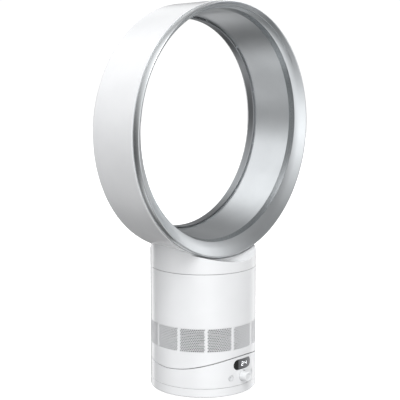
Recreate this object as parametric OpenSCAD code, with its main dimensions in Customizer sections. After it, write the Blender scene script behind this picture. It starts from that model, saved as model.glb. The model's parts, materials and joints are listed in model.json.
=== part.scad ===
// Bladeless desk fan: a hollow loop that throws air forwards, on a round body that holds the
// air mover, a cradle that lets the body tilt and a base that swings from side to side.
// Millimetres. Z is up, the fan blows towards -Y, and the origin is the middle of the spot it stands on.

/* [Body] */
// Outer diameter of the foot, the base, the body and the neck
body_d = 146; // [140:1:152]
// Wall of the large mouldings
wall = 2.5; // [2.2:0.1:2.8]
// Height of the seam between the body and the neck of the loop
seam_z = 169.7; // [168:0.1:174]
// Open gap of each seam between large mouldings
seam_gap = 0.6; // [0.4:0.1:0.8]
// Side clearance of pieces that are seated in one another
fit = 0.1; // [0.05:0.01:0.2]
// Radial clearance of pieces that turn on one another
run_fit = 0.05; // [0.02:0.01:0.09]

/* [Foot] */
// Height of the fixed foot
foot_h = 12.6; // [12.4:0.1:14]
// Thickness of the foot's floor
foot_floor = 3; // [2.6:0.1:3.6]
// Height of the rubber pads that shows under the foot
pad_proud = 0.8; // [0.5:0.1:1.2]
// Diameter of a rubber pad
pad_d = 13; // [10:0.5:14]
// Number of rubber pads
pad_count = 6; // [4:1:8]
// Depth of the slide ring that carries the base
slide_t = 1.9; // [1.5:0.1:2.2]
// Bore of the strain relief for the mains lead
cord_bore_d = 7.2; // [6:0.1:7.6]

/* [Swing drive] */
// Tooth module of the swing drive
tooth_m = 1.25; // [1.2:0.05:1.3]
// Teeth of the full circle that the fixed sector is cut from
sector_teeth = 48; // [44:4:48]
// Teeth of the motor's pinion
pinion_teeth = 12; // [12:1:13]
// Outer diameter of the hollow pivot post
post_d = 22; // [20:0.5:24]
// Diameter of the swing motor's can
swing_motor_d = 39; // [36:0.5:40]
// Height of the swing motor's can
swing_motor_h = 12; // [10:0.5:13]

/* [Tilt] */
// Radius of the curved seam that the body tilts on
tilt_r = 175.2; // [172:0.1:180]
// Height of the curved seam at its lowest line
tilt_low_z = 37.4; // [37:0.1:40]
// Largest tilt each way, in degrees
tilt_travel = 10; // [6:0.5:10]
// Thickness of the two curved plates
tilt_plate = 2.2; // [2:0.1:2.4]
// Distance of each tilt hook from the middle
hook_x = 30; // [27:0.5:32]
// Length of a tilt hook
hook_len = 28; // [22:1:30]

/* [Controls] */
// Width of the display window
window_w = 35; // [30:0.5:38]
// Height of the display window
window_h = 14.6; // [12:0.1:14.8]
// Height of the display window's middle
window_z = 41.8; // [41:0.1:42]
// Height of the middle of the buttons
button_z = 25; // [24:0.1:26]
// Diameter of a button
button_d = 7.4; // [6.5:0.1:8]
// Angle of each button from the front, in degrees
button_angle = 17; // [16:0.5:19]
// Travel of a button
button_travel = 1; // [0.6:0.1:1]
// Height of the middle of the speed knob
knob_z = 24.8; // [24.5:0.1:26]
// Diameter of the speed knob at its root
knob_d = 14.4; // [12:0.1:15]
// Length of the speed knob outside the base
knob_len = 9.5; // [7:0.1:10]

/* [Air inlet] */
// Height of the lower edge of the inlet band
inlet_z = 63.3; // [62.5:0.1:64]
// Height of the inlet band
inlet_h = 32.4; // [30:0.1:34]
// Number of inlet panels round the body
inlet_panels = 12; // [8:1:14]
// Width of the plain rib between two panels
inlet_rib = 2.4; // [2.2:0.1:6]
// Diameter of an inlet hole
inlet_hole_d = 4.2; // [3:0.1:4.4]
// Rows of inlet holes
inlet_rows = 6; // [4:1:6]
// Holes in a full row
inlet_cols = 6; // [4:1:6]

/* [Air mover] */
// Throat diameter of the impeller housing
throat_d = 76; // [70:1:80]
// Largest bore of the impeller housing
housing_d = 101; // [98:0.5:103]
// Height of the impeller housing above its flange
housing_h = 50; // [49:0.5:52]
// Wall of the impeller housing
housing_wall = 2; // [1.6:0.1:2.2]
// Height of the impeller's cone
impeller_h = 26; // [25:0.5:26.5]
// Number of impeller blades
blade_count = 9; // [7:1:11]
// Thickness of an impeller blade
blade_t = 1.2; // [1:0.1:1.6]
// Angle that a blade wraps round the hub, in degrees
blade_wrap = 62; // [45:1:70]
// Gap between the blade tips and the housing
tip_gap = 0.8; // [0.6:0.1:1.2]
// Outer diameter of the motor bucket
bucket_d = 66; // [62:0.5:67]
// Diameter of the drive shaft
shaft_d = 6; // [5:0.1:6.5]
// Number of fixed vanes in the diffuser
vane_count = 11; // [9:1:13]

/* [Loop] */
// Length of the neck between its seam and the loop's lowest point
neck_len = 15.8; // [15:0.1:18]
// How much lower the middle of the loop's outer rim lies
loop_drop = 5.5; // [4:0.1:6.5]
// Outer diameter of the loop behind its front ring
loop_front_d = 344; // [338:1:350]
// How much narrower the loop is at its rear corner, on the diameter
loop_taper = 8.8; // [7:0.2:14]
// Height of the rear lip inside the loop's outer surface
lip_step = 30; // [29.5:0.1:31]
// Depth of the loop in front of its middle
loop_front = 47; // [45:0.5:50]
// Depth of the loop behind its middle
loop_rear = 42.5; // [41:0.5:46]
// Depth of the silver front ring
front_ring_depth = 11.5; // [10:0.5:13]
// Height of the bevel's inner edge inside the loop's outer surface
bevel_step = 15.7; // [15.5:0.1:17]
// How far the guide band draws in from the bevel's inner edge
guide_step = 2.8; // [2.3:0.1:3.4]
// Depth of the guide band
guide_depth = 7.5; // [6:0.5:9]
// Width of the annular air slot
slot_gap = 1.4; // [1:0.1:1.6]
// Wall of the loop's shells
loop_wall = 2.2; // [2:0.1:2.4]
// Number of spacers in the air slot
spacer_count = 12; // [8:1:16]
// Angle that the loop turns to come off, in degrees
twist_travel = 20; // [12:1:22]

/* [Hidden] */
$fn = 96;

// Colours of the mouldings and the inner pieces
white = [0.93, 0.94, 0.95];
silver = [0.72, 0.74, 0.76];
dark = [0.13, 0.13, 0.14];
black = [0.04, 0.04, 0.05];
steel = [0.6, 0.61, 0.63];
copper = [0.72, 0.42, 0.2];
board_green = [0.1, 0.35, 0.2];
foam_grey = [0.3, 0.3, 0.32];
clear_tint = [0.08, 0.08, 0.09];

// Shared sizes
over = 1;
body_r = body_d / 2;
body_ir = body_r - wall;
inner_r = body_ir - fit;
half_seam = seam_gap / 2;
facet = 32;
arc_steps = 5;

// Foot stack
pad_r = pad_d / 2;
foot_round = 1.5;
plate_z = pad_proud;
floor_z = plate_z + foot_floor;
pad_sink = foot_floor * 2 / 3;
pad_edge = 5.4;
pad_pcd_r = body_r - pad_edge - pad_r;
turntable_z = foot_h + seam_gap;
slide_z = turntable_z - half_seam - slide_t;
post_r = post_d / 2;
post_wall = 4;
post_flange_w = 4.5;
post_flange_r = post_r + post_flange_w;
post_flange_t = 2.2;
post_window_w = 8;
clip_groove = 1.4;
clip_t = 1.5;
clip_w = 3.2;
clip_r = post_r + clip_w;

// Swing drive
sector_r = tooth_m * sector_teeth / 2;
pinion_r = tooth_m * pinion_teeth / 2;
drive_r = sector_r + pinion_r;
addendum = tooth_m;
dedendum = tooth_m * 1.25;
backlash_share = 0.09;
sector_t = 4;
sector_half = 66;
sector_play = 0.5;
sector_bore_r = post_flange_r + sector_play;
pinion_t = 5;
pinion_lift = 0.6;
pinion_shaft_r = 2;
track_play = 1.6;
track_in = sector_r + 2 * pinion_r + addendum + track_play;
track_w = 7.4;

gear_screw_r = (sector_bore_r + sector_r) / 2;
gear_screw_turn = 46;
gear_screw_angles = [-90 - gear_screw_turn, -90, -90 + gear_screw_turn];

// Way in for the mains lead
cord_way = 12;
gland_drop = 1.2;
gland_z = (floor_z + foot_h) / 2 - gland_drop;
gland_wall = 0.9;
gland_r = cord_bore_d / 2 + gland_wall;
gland_lip = 0.8;
gland_flange_r = gland_r + gland_lip;
gland_sink = 0.8;
gland_face = body_r - gland_sink;
gland_flange_t = 1.4;
gland_proud = 4;
gland_chamfer = 0.4;
gland_nut_t = 2.5;
gland_nut_w = 0.5;
gland_pocket = 6;

// Turntable and its screws
turntable_t = 3;
hub_h = 9;
hub_wall = 4.5;
hub_r = post_r + hub_wall;
hub_top = turntable_z + hub_h;
clip_z = hub_top + half_seam;
post_tip = 2;
post_top = clip_z + clip_t + post_tip;
deck_z = turntable_z + turntable_t;
boss_r = 4;
boss_inset = 8.5;
boss_pcd_r = body_ir - boss_inset;
boss_rib = 3;
boss_angles = [45, 135, 225, 315];
screw_r = 1.4;
screw_head_r = 2.8;
screw_head_t = 1.6;
screw_len = 12;
screw_gap = 0.5;
head_sink = screw_head_t + 2 * fit;
blind = 1;

// Tilt geometry: everything that slides is concentric with this axis
tilt_axis_z = tilt_low_z + tilt_r;
cradle_top_r = tilt_r + half_seam;
cradle_low_r = cradle_top_r + tilt_plate;
floor_low_r = tilt_r - half_seam;
floor_top_r = floor_low_r - tilt_plate;
hook_neck = 3;
hook_flange = 9;
hook_t = 2;
hook_gap = 0.4;
hook_end_gap = 1;
hook_slot_half = hook_len / 2 + cradle_low_r * sin(tilt_travel) + hook_end_gap;
wire_hole_r = 9;

boss_corner = boss_pcd_r * sin(45) - boss_r;
boss_top = tilt_axis_z - sqrt(pow(cradle_low_r, 2) - pow(boss_corner, 2)) - hook_gap;

// Swing motor
motor_ear_out = 3;
motor_ear_x = swing_motor_d / 2 + motor_ear_out;
motor_ear_r = 3.6;
motor_ear_t = 1.6;
motor_bore_depth = 4;
motor_lid_t = 0.6;
pinion_play = 1;

// Control panel, set out from the board's front face
board_inset = 12.5;
board_front = body_r - board_inset;
board_t = 1.6;
board_w = 54;
board_h = 26;
board_post_w = 4;
board_post_d = 3;
board_post_h = 16;
window_fit = 0.15;
window_face = 0.15;
window_back = 1.4;
display_depth = 6;
bezel = 1.9;
display_h = window_h - 2 * bezel;
display_w = window_w - 2 * bezel;
digit_shares = [0.36, 0.64];
digit_w_share = 0.16;
digit_h_share = 0.62;
digit_depth = 0.6;
notch_play = 1;
button_fit = 0.3;
button_proud = 0.4;
button_depth = 6.5;
button_root = body_r - button_depth;
button_lip = 1.3;
button_flange_r = button_d / 2 + button_lip;
button_step = 1;
button_round = 0.4;
button_dish = 0.25;
button_dish_share = 0.55;
button_flange_z = 1;
button_flange_t = 1.2;
switch_w = 6;
switch_t = 0.9;
switch_tip_r = 1.5;
switch_gap = 0.3;
knob_sink = 2.2;
knob_nose_share = 0.92;
knob_round = 1.2;
knob_dish = 0.5;
knob_dish_shares = [0.7, 0.62];
knob_gap = 0.4;
knob_shaft_r = 3;
encoder_w = 12;
encoder_t = 5.5;
bushing_r = 4.4;
bushing_len = 2.5;
encoder_floor = 1;
knob_shaft_gap = 0.8;

// Inlet panels
panel_pitch = 360 / inlet_panels;
rib_angle = inlet_rib / body_r * 180 / PI;
panel_angle = panel_pitch - rib_angle;
panel_fit = 0.1;
panel_t = 1.9;
panel_angle_fit = panel_fit / body_r * 180 / PI;
row_margin_share = 0.35;
col_margin_share = 0.55;
hole_row_step = inlet_h / (inlet_rows + row_margin_share);
hole_col_step = panel_angle / (inlet_cols + col_margin_share);

// Inner stack of the body, from the top of the inlet band upwards
ledge_t = 2.5;
ledge_w = 6.5;
ledge_gap = 1.8;
ledge_z = inlet_z + inlet_h + ledge_gap;
mount_t = 3;
mount_screw_r = body_ir - ledge_w / 2;
mount_groove = 1.2;
flange_z = ledge_z + ledge_t + mount_t;
flange_t = 2.5;
throat_r = throat_d / 2;
bell_r = 6;
throat_drop = 2;
throat_z = flange_z - throat_drop;
cone_h = 25;
cone_top_z = flange_z + cone_h;
housing_r = housing_d / 2;
housing_top = flange_z + housing_h;
foam_t = 5.5;
foam_w = 20;
foam_fit = 0.3;
foam_drop = 0.8;
foam_play = 1.2;
lower_foam_z = inlet_z - foam_t - foam_drop;
board_r = 46;
board_drop = 3.2;
board_z = lower_foam_z - board_drop;
pillar_x = 34;
pillar_y = 24;
pillar_r = 4;
pillar_bite = 4;
parts_pitch = 16;
parts_r = 4.2;
parts_h = 5.6;
block_h = 4.6;
chip_h = 3.4;

// Impeller and motor
hub_nose_r = 8;
hub_low_r = 12;
hub_low_h = 2.5;
hub_play = 0.5;
hub_top_r = bucket_d / 2 - hub_play;
hub_wall_t = 3;
hub_web_h = 9;
hub_rim_t = 1.5;
nose_drop = 1;
impeller_z = throat_z - nose_drop;
impeller_top = impeller_z + impeller_h + hub_rim_t;
blade_root = 1;
blade_start = 2.2;
blade_rows = 8;
blade_end_gap = 0.6;
blade_edge_share = 0.55;
blade_curve = 0.8;
shaft_r = shaft_d / 2;
bucket_r = bucket_d / 2;
bucket_wall = 2.5;
bucket_gap = 1;
bucket_z = impeller_top + bucket_gap;
bucket_floor = 2.5;
bucket_h = 20.5;
bearing_r = 8;
bearing_t = 5;
bearing_seat_t = 2.5;
seat_short = 1;
shaft_play = 1.5;
outer_race_t = 1.6;
inner_race_t = 1.4;
shield_sink = 0.75;
shield_lap = 0.4;
stator_gap = 0.6;
stator_r = bucket_r - bucket_wall - fit;
stator_z = bucket_z + bucket_floor + bearing_t + stator_gap;
stator_h = 12;
stator_teeth = 9;
stator_yoke = 4;
tooth_w = 4;
tooth_tip_w = 6;
tooth_tip_t = 1.8;
magnet_r = 12;
magnet_gap = 0.6;
coil_t = 1.7;
coil_gap = 0.5;
coil_end_t = 0.6;
dowel_r = 0.5;
dowel_len = 5;
dowel_gap = 0.5;
cap_z = bucket_z + bucket_h;
cap_h = 14;
cap_round = 8;
cap_bearing = 4.5;
cap_skin = 1.5;
shaft_nose = 1.5;
shaft_end_gap = 3;
shaft_low = impeller_z - shaft_nose;
shaft_top = cap_z + cap_h - shaft_end_gap;
vane_t = 1.4;
vane_lift = 1;
vane_z = bucket_z + vane_lift;
vane_trim = 0.5;
vane_curve_share = 1.2;
vane_h = 16;
diffuser_ring = 1.5;
vane_sweep = 52;

// Collar that the loop locks on, from the top of the body downwards
collar_drop = 16.6;
collar_ledge_z = seam_z - collar_drop;
collar_flange_t = 2.5;
collar_play = 2.5;
collar_r = body_ir - collar_play;
collar_wall = 4;
collar_rise = 10.6;
collar_top = seam_z + collar_rise;
collar_flange_w = 14.5;
collar_in = body_ir - collar_flange_w;
collar_screw_r = (collar_in + collar_r - collar_wall) / 2;
seal_tube = 1.5;
seal_proud = 0.6;
seal_r = collar_r + seal_proud;
seal_rise = 3.1;
seal_z = seam_z + seal_rise;
lug_rise = 5.6;
lug_z = seam_z + lug_rise;
lug_t = 3;
lug_angle = 14;
lug_reach = 1.8;
lug_gap = 0.4;
lug_places = [30, 150, 270];
lug_slack = 1.2;
lug_entry_slack = 0.9;
lug_in = collar_r - lug_reach;

// Loop profile: radii, with depths along Y
front_r = loop_front_d / 2;
rim_z = seam_z + neck_len + front_r;
loop_z = rim_z + loop_drop;
joint_y = -loop_front + front_ring_depth;
rear_r = front_r - loop_taper / 2;
rear_round = 5;
lip_r = front_r - lip_step;
lip_round = 5;
lip_wall = 2;
lip_len = 9.5;
lip_tip_y = loop_rear - lip_round - lip_len;
bevel_r = front_r - bevel_step;
guide_r = bevel_r - guide_step;
guide_y = joint_y + guide_depth;
slot_r = lip_r + lip_wall + slot_gap;
throat_len = 12;
throat_y = lip_tip_y - throat_len;
throat_rise = 1.7;
diffuser_r = slot_r + throat_rise;
curl_r = 6;
curl_len = 3;
coanda_sweep = 50;
web_t = 2.2;
rim_round = 1.4;
rim_step = 0.8;
rim_r = front_r - rim_step;
rim_wall = 2;
rim_land = 0.3;
hollow_depth = 7;
disc_t = 0.05;
taper_sink = 0.5;
lip_taper = 0.2;
shelf_gap = 1.8;
shelf_r = front_r + shelf_gap;
shelf_wall = 2.5;
shelf_back = 14;
neck_rise = 40;
passage_y = 32;
passage_inset = 4;
passage_r = body_ir - passage_inset;
passage_rise = 16;
passage_top = rim_z - front_r + passage_rise;
spacer_w = 2;
spacer_len = 3;

// Points of an arc in a plane
function arc(c, r, a0, a1, n = arc_steps) =
    [for (i = [0 : n]) let (a = a0 + (a1 - a0) * i / n) [c[0] + r * cos(a), c[1] + r * sin(a)]];

// A tube that stands on the XY plane
module tube(r_out, r_in, h) {
    difference() {
        cylinder(r = r_out, h = h);
        translate([0, 0, -over]) cylinder(r = r_in, h = h + 2 * over);
    }
}

// Turns a radius and depth profile round the fan's blowing axis at height z
module spun(z) {
    translate([0, 0, z]) rotate([-90, 0, 0]) rotate_extrude($fn = 180) children();
}

// Solid cylinder along X about the tilt axis
module tilt_drum(r, half = body_r + over) {
    translate([-half, 0, tilt_axis_z]) rotate([0, 90, 0]) cylinder(r = r, h = 2 * half);
}

// Curved plate between two radii about the tilt axis, inside a cylinder of the body
module tilt_shell(r_out, r_in, r_body) {
    intersection() {
        translate([0, 0, tilt_axis_z - r_out - over]) cylinder(r = r_body, h = r_out / 2);
        difference() {
            tilt_drum(r_out);
            tilt_drum(r_in, body_r + 2 * over);
        }
    }
}

// Screw with its head's underside at the origin and its shank going down
module screw(len = screw_len, r = screw_r, head_r = screw_head_r, head_t = screw_head_t) {
    difference() {
        union() {
            translate([0, 0, -len]) cylinder(r = r, h = len + head_t / 2);
            cylinder(r1 = head_r, r2 = head_r * 0.8, h = head_t);
        }
        translate([0, 0, head_t / 2]) {
            cube([head_r, head_t / 3, 2 * head_t], center = true);
            cube([head_t / 3, head_r, 2 * head_t], center = true);
        }
    }
}

// Involute tooth form: angle of the flank at radius r, with base radius rb
function inv_angle(r, rb) = r > rb ? let (a = acos(rb / r)) tan(a) * 180 / PI - a : 0;
function half_tooth(n, r) =
    let (rp = tooth_m * n / 2, rb = rp * cos(20))
    90 / n * (1 - backlash_share * 2) + inv_angle(rp, rb) - inv_angle(r, rb);
function tooth_radii(n) = let (rp = tooth_m * n / 2)
    [rp - dedendum, rp - dedendum / 3, rp, rp + addendum / 2, rp + addendum];
function tooth_points(n, at) =
    let (rs = tooth_radii(n))
    concat([for (r = rs) r * [cos(at - half_tooth(n, r)), sin(at - half_tooth(n, r))]],
        [for (i = [len(rs) - 1 : -1 : 0])
            rs[i] * [cos(at + half_tooth(n, rs[i])), sin(at + half_tooth(n, rs[i]))]]);

// Foot: fixed plate that stands on the table
module base_plate() {
    profile = concat(
        [[0, plate_z], [body_r - foot_round, plate_z]],
        arc([body_r - foot_round, plate_z + foot_round], foot_round, -90, 0),
        [[body_r, foot_h], [body_ir, foot_h], [body_ir, floor_z],
            [track_in + track_w, floor_z], [track_in + track_w, slide_z],
            [track_in, slide_z], [track_in, floor_z], [0, floor_z]]);
    color(white) difference() {
        rotate_extrude() polygon(profile);
        for (i = [0 : pad_count - 1]) rotate(i * 360 / pad_count)
            translate([pad_pcd_r, 0, plate_z - over]) cylinder(r = pad_r + fit, h = pad_sink + over);
        for (a = gear_screw_angles) rotate(a) translate([gear_screw_r, 0, plate_z + blind])
            cylinder(r = screw_r + fit, h = foot_floor);
        // Way for the lead through the track, and the hole of its strain relief
        translate([-cord_way / 2, 0, floor_z]) cube([cord_way, body_ir, foot_h]);
        translate([0, body_ir - over, gland_z]) rotate([-90, 0, 0])
            cylinder(r = gland_r + fit, h = wall + 2 * over);
        translate([0, body_ir - gland_pocket, gland_z]) rotate([-90, 0, 0])
            cylinder(r = gland_r + gland_nut_w + fit, h = gland_pocket);
        translate([0, gland_face, gland_z]) rotate([-90, 0, 0])
            cylinder(r = gland_flange_r + fit, h = wall);
    }
}

module rubber_pads() {
    color(dark) for (i = [0 : pad_count - 1]) rotate(i * 360 / pad_count)
        translate([pad_pcd_r, 0, 0]) rotate_extrude()
            polygon([[0, 0], [pad_r - pad_proud, 0], [pad_r, pad_proud],
                [pad_r, plate_z + pad_sink], [0, plate_z + pad_sink]]);
}

// Fixed sector of teeth that the pinion walks along
module sector_gear() {
    step = 360 / sector_teeth;
    first = ceil(-sector_half / step);
    color(white) translate([0, 0, floor_z]) difference() {
        rotate(-90) linear_extrude(sector_t) polygon(concat(
            [for (i = [first : -first]) each tooth_points(sector_teeth, i * step)],
            arc([0, 0], sector_bore_r, -first * step + step / 2, first * step - step / 2, 24)));
        for (a = gear_screw_angles) rotate(a) translate([gear_screw_r, 0, -over])
            cylinder(r = screw_r + fit, h = sector_t + 2 * over);
    }
}

module gear_screws() {
    color(steel) for (a = gear_screw_angles) rotate(a)
        translate([gear_screw_r, 0, floor_z + sector_t]) screw(sector_t + foot_floor - blind - screw_gap);
}

// Hollow post that the base turns on, with a way in for the lead at its back
module pivot_post() {
    color(silver) difference() {
        union() {
            translate([0, 0, floor_z]) cylinder(r = post_flange_r, h = post_flange_t);
            translate([0, 0, floor_z]) cylinder(r = post_r, h = post_top - floor_z);
        }
        translate([0, 0, floor_z + post_flange_t]) cylinder(r = post_r - post_wall, h = post_top);
        translate([-post_window_w / 2, 0, floor_z + post_flange_t])
            cube([post_window_w, post_flange_r + over, slide_z - floor_z - post_flange_t]);
        translate([0, 0, clip_z - fit / 2]) tube(post_r + over, post_r - clip_groove, clip_t + fit);
    }
}

// Retaining clip, open at the back so that it can be pushed on
module post_clip() {
    color(steel) translate([0, 0, clip_z]) difference() {
        tube(clip_r, post_r - clip_groove + fit / 2, clip_t);
        translate([-post_r / 2, 0, -over]) cube([post_r, clip_r + over, clip_t + 2 * over]);
    }
}

module slide_ring() {
    color(black) translate([0, 0, slide_z])
        tube(track_in + track_w - fit, track_in + fit, slide_t);
}

// Strain relief where the mains lead goes in
module cord_gland() {
    bore = cord_bore_d / 2;
    out = body_r + gland_proud;
    in = body_ir - gland_nut_t;
    color(dark) translate([0, 0, gland_z]) rotate([-90, 0, 0]) rotate_extrude()
        polygon([[bore, in], [gland_r + gland_nut_w, in], [gland_r + gland_nut_w, body_ir - gland_nut_w],
            [gland_r, body_ir - gland_nut_w], [gland_r, gland_face], [gland_flange_r, gland_face],
            [gland_flange_r, gland_face + gland_flange_t], [gland_r, gland_face + gland_flange_t],
            [gland_r, out - gland_chamfer], [gland_r - gland_chamfer, out], [bore, out]]);
}

// Floor of the swinging base
module turntable() {
    color(white) difference() {
        union() {
            translate([0, 0, turntable_z]) cylinder(r = inner_r, h = turntable_t);
            translate([0, 0, turntable_z]) cylinder(r = hub_r, h = hub_h);
            for (s = [-1, 1]) translate([s * (board_w / 2 - board_post_w) - board_post_w / 2,
                -board_front + board_t, deck_z]) cube([board_post_w, board_post_d, board_post_h]);
        }
        translate([0, 0, turntable_z - over]) cylinder(r = post_r + run_fit, h = hub_h + 2 * over);
        translate([0, -drive_r, turntable_z - over])
            cylinder(r = pinion_r + addendum + pinion_play, h = turntable_t + 2 * over);
        for (s = [-1, 1]) translate([s * motor_ear_x, -drive_r, turntable_z - over])
            cylinder(r = screw_r + fit, h = turntable_t + 2 * over);
        for (a = boss_angles) rotate(a) translate([boss_pcd_r, 0, turntable_z - over]) {
            cylinder(r = screw_r + fit, h = turntable_t + 2 * over);
            cylinder(r = screw_head_r + fit, h = head_sink + over);
        }
    }
}

// A stadium along Y, for the display window
module stadium(w, h, y0, y1) {
    translate([0, 0, window_z]) {
        translate([-(w - h) / 2, y0, -h / 2]) cube([w - h, y1 - y0, h]);
        for (s = [-1, 1]) translate([s * (w - h) / 2, y0, 0]) rotate([-90, 0, 0])
            cylinder(d = h, h = y1 - y0);
    }
}

// Places a child on the radial line of a button, with its Z pointing outwards
module at_button(s) {
    rotate(s * button_angle - 90) translate([0, 0, button_z]) rotate([0, 90, 0]) children();
}

// White skirt of the swinging base, with the controls in its front
module control_shell() {
    color(white) difference() {
        union() {
            difference() {
                translate([0, 0, turntable_z]) tube(body_r, body_ir, tilt_axis_z - turntable_z - tilt_r / 2);
                tilt_drum(cradle_top_r);
            }
            for (a = boss_angles) rotate(a) {
                translate([boss_pcd_r, 0, deck_z]) cylinder(r = boss_r, h = boss_top - deck_z);
                translate([boss_pcd_r, -boss_rib / 2, deck_z])
                    cube([body_ir - boss_pcd_r + wall / 2, boss_rib, boss_top - deck_z]);
            }
        }
        for (a = boss_angles) rotate(a) translate([boss_pcd_r, 0, deck_z - over])
            cylinder(r = screw_r + fit, h = screw_len + over);
        stadium(window_w, window_h, -body_r - over, -body_ir + window_w / 4);
        for (s = [-1, 1]) at_button(s) translate([0, 0, body_ir - over])
            cylinder(r = button_d / 2 + button_fit, h = wall + 2 * over);
        translate([0, -body_ir + over, knob_z]) rotate([90, 0, 0])
            cylinder(r = knob_d / 2 + knob_gap, h = wall + 2 * over);
    }
}

module shell_screws() {
    color(steel) for (a = boss_angles) rotate(a)
        translate([boss_pcd_r, 0, turntable_z + head_sink]) mirror([0, 0, 1])
            screw(screw_len - screw_gap);
}

// Curved top of the base, slotted for the two tilt hooks
module tilt_cradle() {
    color(white) difference() {
        tilt_shell(cradle_low_r, cradle_top_r, inner_r);
        for (s = [-1, 1]) translate([s * hook_x - hook_neck / 2 - hook_gap, -hook_slot_half, 0])
            cube([hook_neck + 2 * hook_gap, 2 * hook_slot_half, tilt_axis_z / 2]);
        cylinder(r = wire_hole_r, h = tilt_axis_z / 2);
        translate([-window_w / 2 - notch_play, -body_r, 0])
            cube([window_w + 2 * notch_play, body_r - board_front + notch_play, tilt_axis_z / 2]);
    }
}

// Small geared motor with two ears
module swing_motor() {
    color(steel) translate([0, -drive_r, deck_z]) difference() {
        union() {
            cylinder(d = swing_motor_d, h = swing_motor_h);
            for (s = [-1, 1]) translate([s * motor_ear_x, 0, 0]) cylinder(r = motor_ear_r, h = motor_ear_t);
            translate([-motor_ear_x, -motor_ear_r, 0]) cube([2 * motor_ear_x, 2 * motor_ear_r, motor_ear_t]);
            translate([0, 0, swing_motor_h]) cylinder(r = swing_motor_d / 5, h = motor_lid_t);
        }
        translate([0, 0, -over]) cylinder(r = pinion_shaft_r + run_fit, h = motor_bore_depth + over);
        for (s = [-1, 1]) translate([s * motor_ear_x, 0, -over])
            cylinder(r = screw_r + fit, h = motor_ear_t + 2 * over);
    }
}

module motor_screws() {
    color(steel) for (s = [-1, 1]) translate([s * motor_ear_x, -drive_r, deck_z + motor_ear_t])
        screw(motor_ear_t + turntable_t - screw_gap);
}

// Upright board behind the front of the base
module control_board() {
    color(board_green) translate([-board_w / 2, -board_front, deck_z]) cube([board_w, board_t, board_h]);
}

// Digit block behind the window
module display_module() {
    color(dark) translate([-display_w / 2, -board_front - display_depth, window_z - display_h / 2])
        difference() {
            cube([display_w, display_depth, display_h]);
            for (x = digit_shares) translate([display_w * x, 0, display_h / 2])
                cube([display_w * digit_w_share, 2 * digit_depth, display_h * digit_h_share],
                    center = true);
        }
}

// Tinted window, flush with the skirt
module display_window() {
    color(clear_tint) intersection() {
        stadium(window_w - 2 * window_fit, window_h - 2 * window_fit, -body_r, -body_ir + window_w / 4);
        tube(body_r - window_face, body_ir - window_back, tilt_axis_z / 2);
    }
}

// Rotary encoder on the board, with its bushing
module knob_encoder() {
    color(steel) translate([0, -board_front, knob_z]) rotate([90, 0, 0]) difference() {
        union() {
            translate([-encoder_w / 2, -encoder_w / 2, 0]) cube([encoder_w, encoder_w, encoder_t]);
            cylinder(r = bushing_r, h = encoder_t + bushing_len);
        }
        translate([0, 0, encoder_floor]) cylinder(r = knob_shaft_r + run_fit, h = encoder_t + bushing_len);
    }
}

// Two small press switches on the board
module button_switches() {
    tip = button_root - button_travel - switch_gap;
    color(dark) for (s = [-1, 1]) intersection() {
        union() {
            translate([s * button_root * sin(button_angle) - switch_w / 2,
                -board_front - switch_t, button_z - switch_w / 2]) cube([switch_w, switch_t, switch_w]);
            at_button(s) cylinder(r = switch_tip_r, h = tip);
        }
        translate([-body_r, -body_r, button_z - switch_w]) cube([body_d, body_r - board_front, 2 * switch_w]);
    }
}

// Pinion on the swing motor's shaft
module drive_pinion() {
    color(white) translate([0, -drive_r, floor_z + pinion_lift]) union() {
        rotate(90 + 180 / pinion_teeth) linear_extrude(pinion_t)
            polygon([for (i = [0 : pinion_teeth - 1])
                each tooth_points(pinion_teeth, i * 360 / pinion_teeth)]);
        cylinder(r = pinion_shaft_r, h = deck_z + motor_bore_depth - half_seam - floor_z - pinion_lift);
    }
}

// Button with a dished face and an inner flange that holds it in
module press_button(s) {
    face = body_r + button_proud;
    r = button_d / 2;
    color(white) at_button(s) rotate_extrude()
        polygon([[0, button_root], [r - button_step, button_root],
            [r - button_step, button_root + button_flange_z],
            [button_flange_r, button_root + button_flange_z],
            [button_flange_r, button_root + button_flange_z + button_flange_t],
            [r, button_root + button_flange_z + button_flange_t], [r, face - button_round],
            [r - button_round, face], [r * button_dish_share, face - button_dish * button_dish_share],
            [0, face - button_dish]]);
}
module power_button() { press_button(-1); }
module swing_button() { press_button(1); }

// Speed knob with its shaft in the encoder
module speed_knob() {
    root = body_r - knob_sink;
    tip = body_r + knob_len;
    nose = knob_d / 2 * knob_nose_share;
    inner = board_front + encoder_floor + knob_shaft_gap;
    color(white) translate([0, 0, knob_z]) rotate([90, 0, 0]) union() {
        rotate_extrude() polygon(concat(
            [[0, root], [knob_d / 2, root], [knob_d / 2, body_r]],
            arc([nose - knob_round, tip - knob_round], knob_round, 0, 90),
            [[nose * knob_dish_shares[0], tip], [nose * knob_dish_shares[1], tip - knob_dish],
                [0, tip - knob_dish]]));
        translate([0, 0, inner]) cylinder(r = knob_shaft_r, h = root - inner + over);
    }
}

// White casing of the body, cut to the curve that it tilts on
module body_shell() {
    top = seam_z - half_seam;
    color(white) difference() {
        union() {
            intersection() {
                tube(body_r, body_ir, top);
                tilt_drum(floor_low_r);
            }
            translate([0, 0, ledge_z]) tube(body_ir + wall / 2, body_ir - ledge_w, ledge_t);
            translate([0, 0, collar_ledge_z]) tube(body_ir + wall / 2, collar_in, ledge_t);
        }
        for (i = [0 : inlet_panels - 1]) rotate(-90 + i * panel_pitch) translate([0, 0, inlet_z])
            rotate(-panel_angle / 2) rotate_extrude(angle = panel_angle)
                translate([body_ir - over, 0]) square([wall + 2 * over, inlet_h]);
        for (i = [0 : 2]) rotate(i * 120 + 60) {
            translate([mount_screw_r, 0, ledge_z - over]) cylinder(r = screw_r + fit, h = ledge_t + 2 * over);
            translate([collar_screw_r, 0, collar_ledge_z - over])
                cylinder(r = screw_r + fit, h = ledge_t + 2 * over);
        }
    }
}

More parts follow.
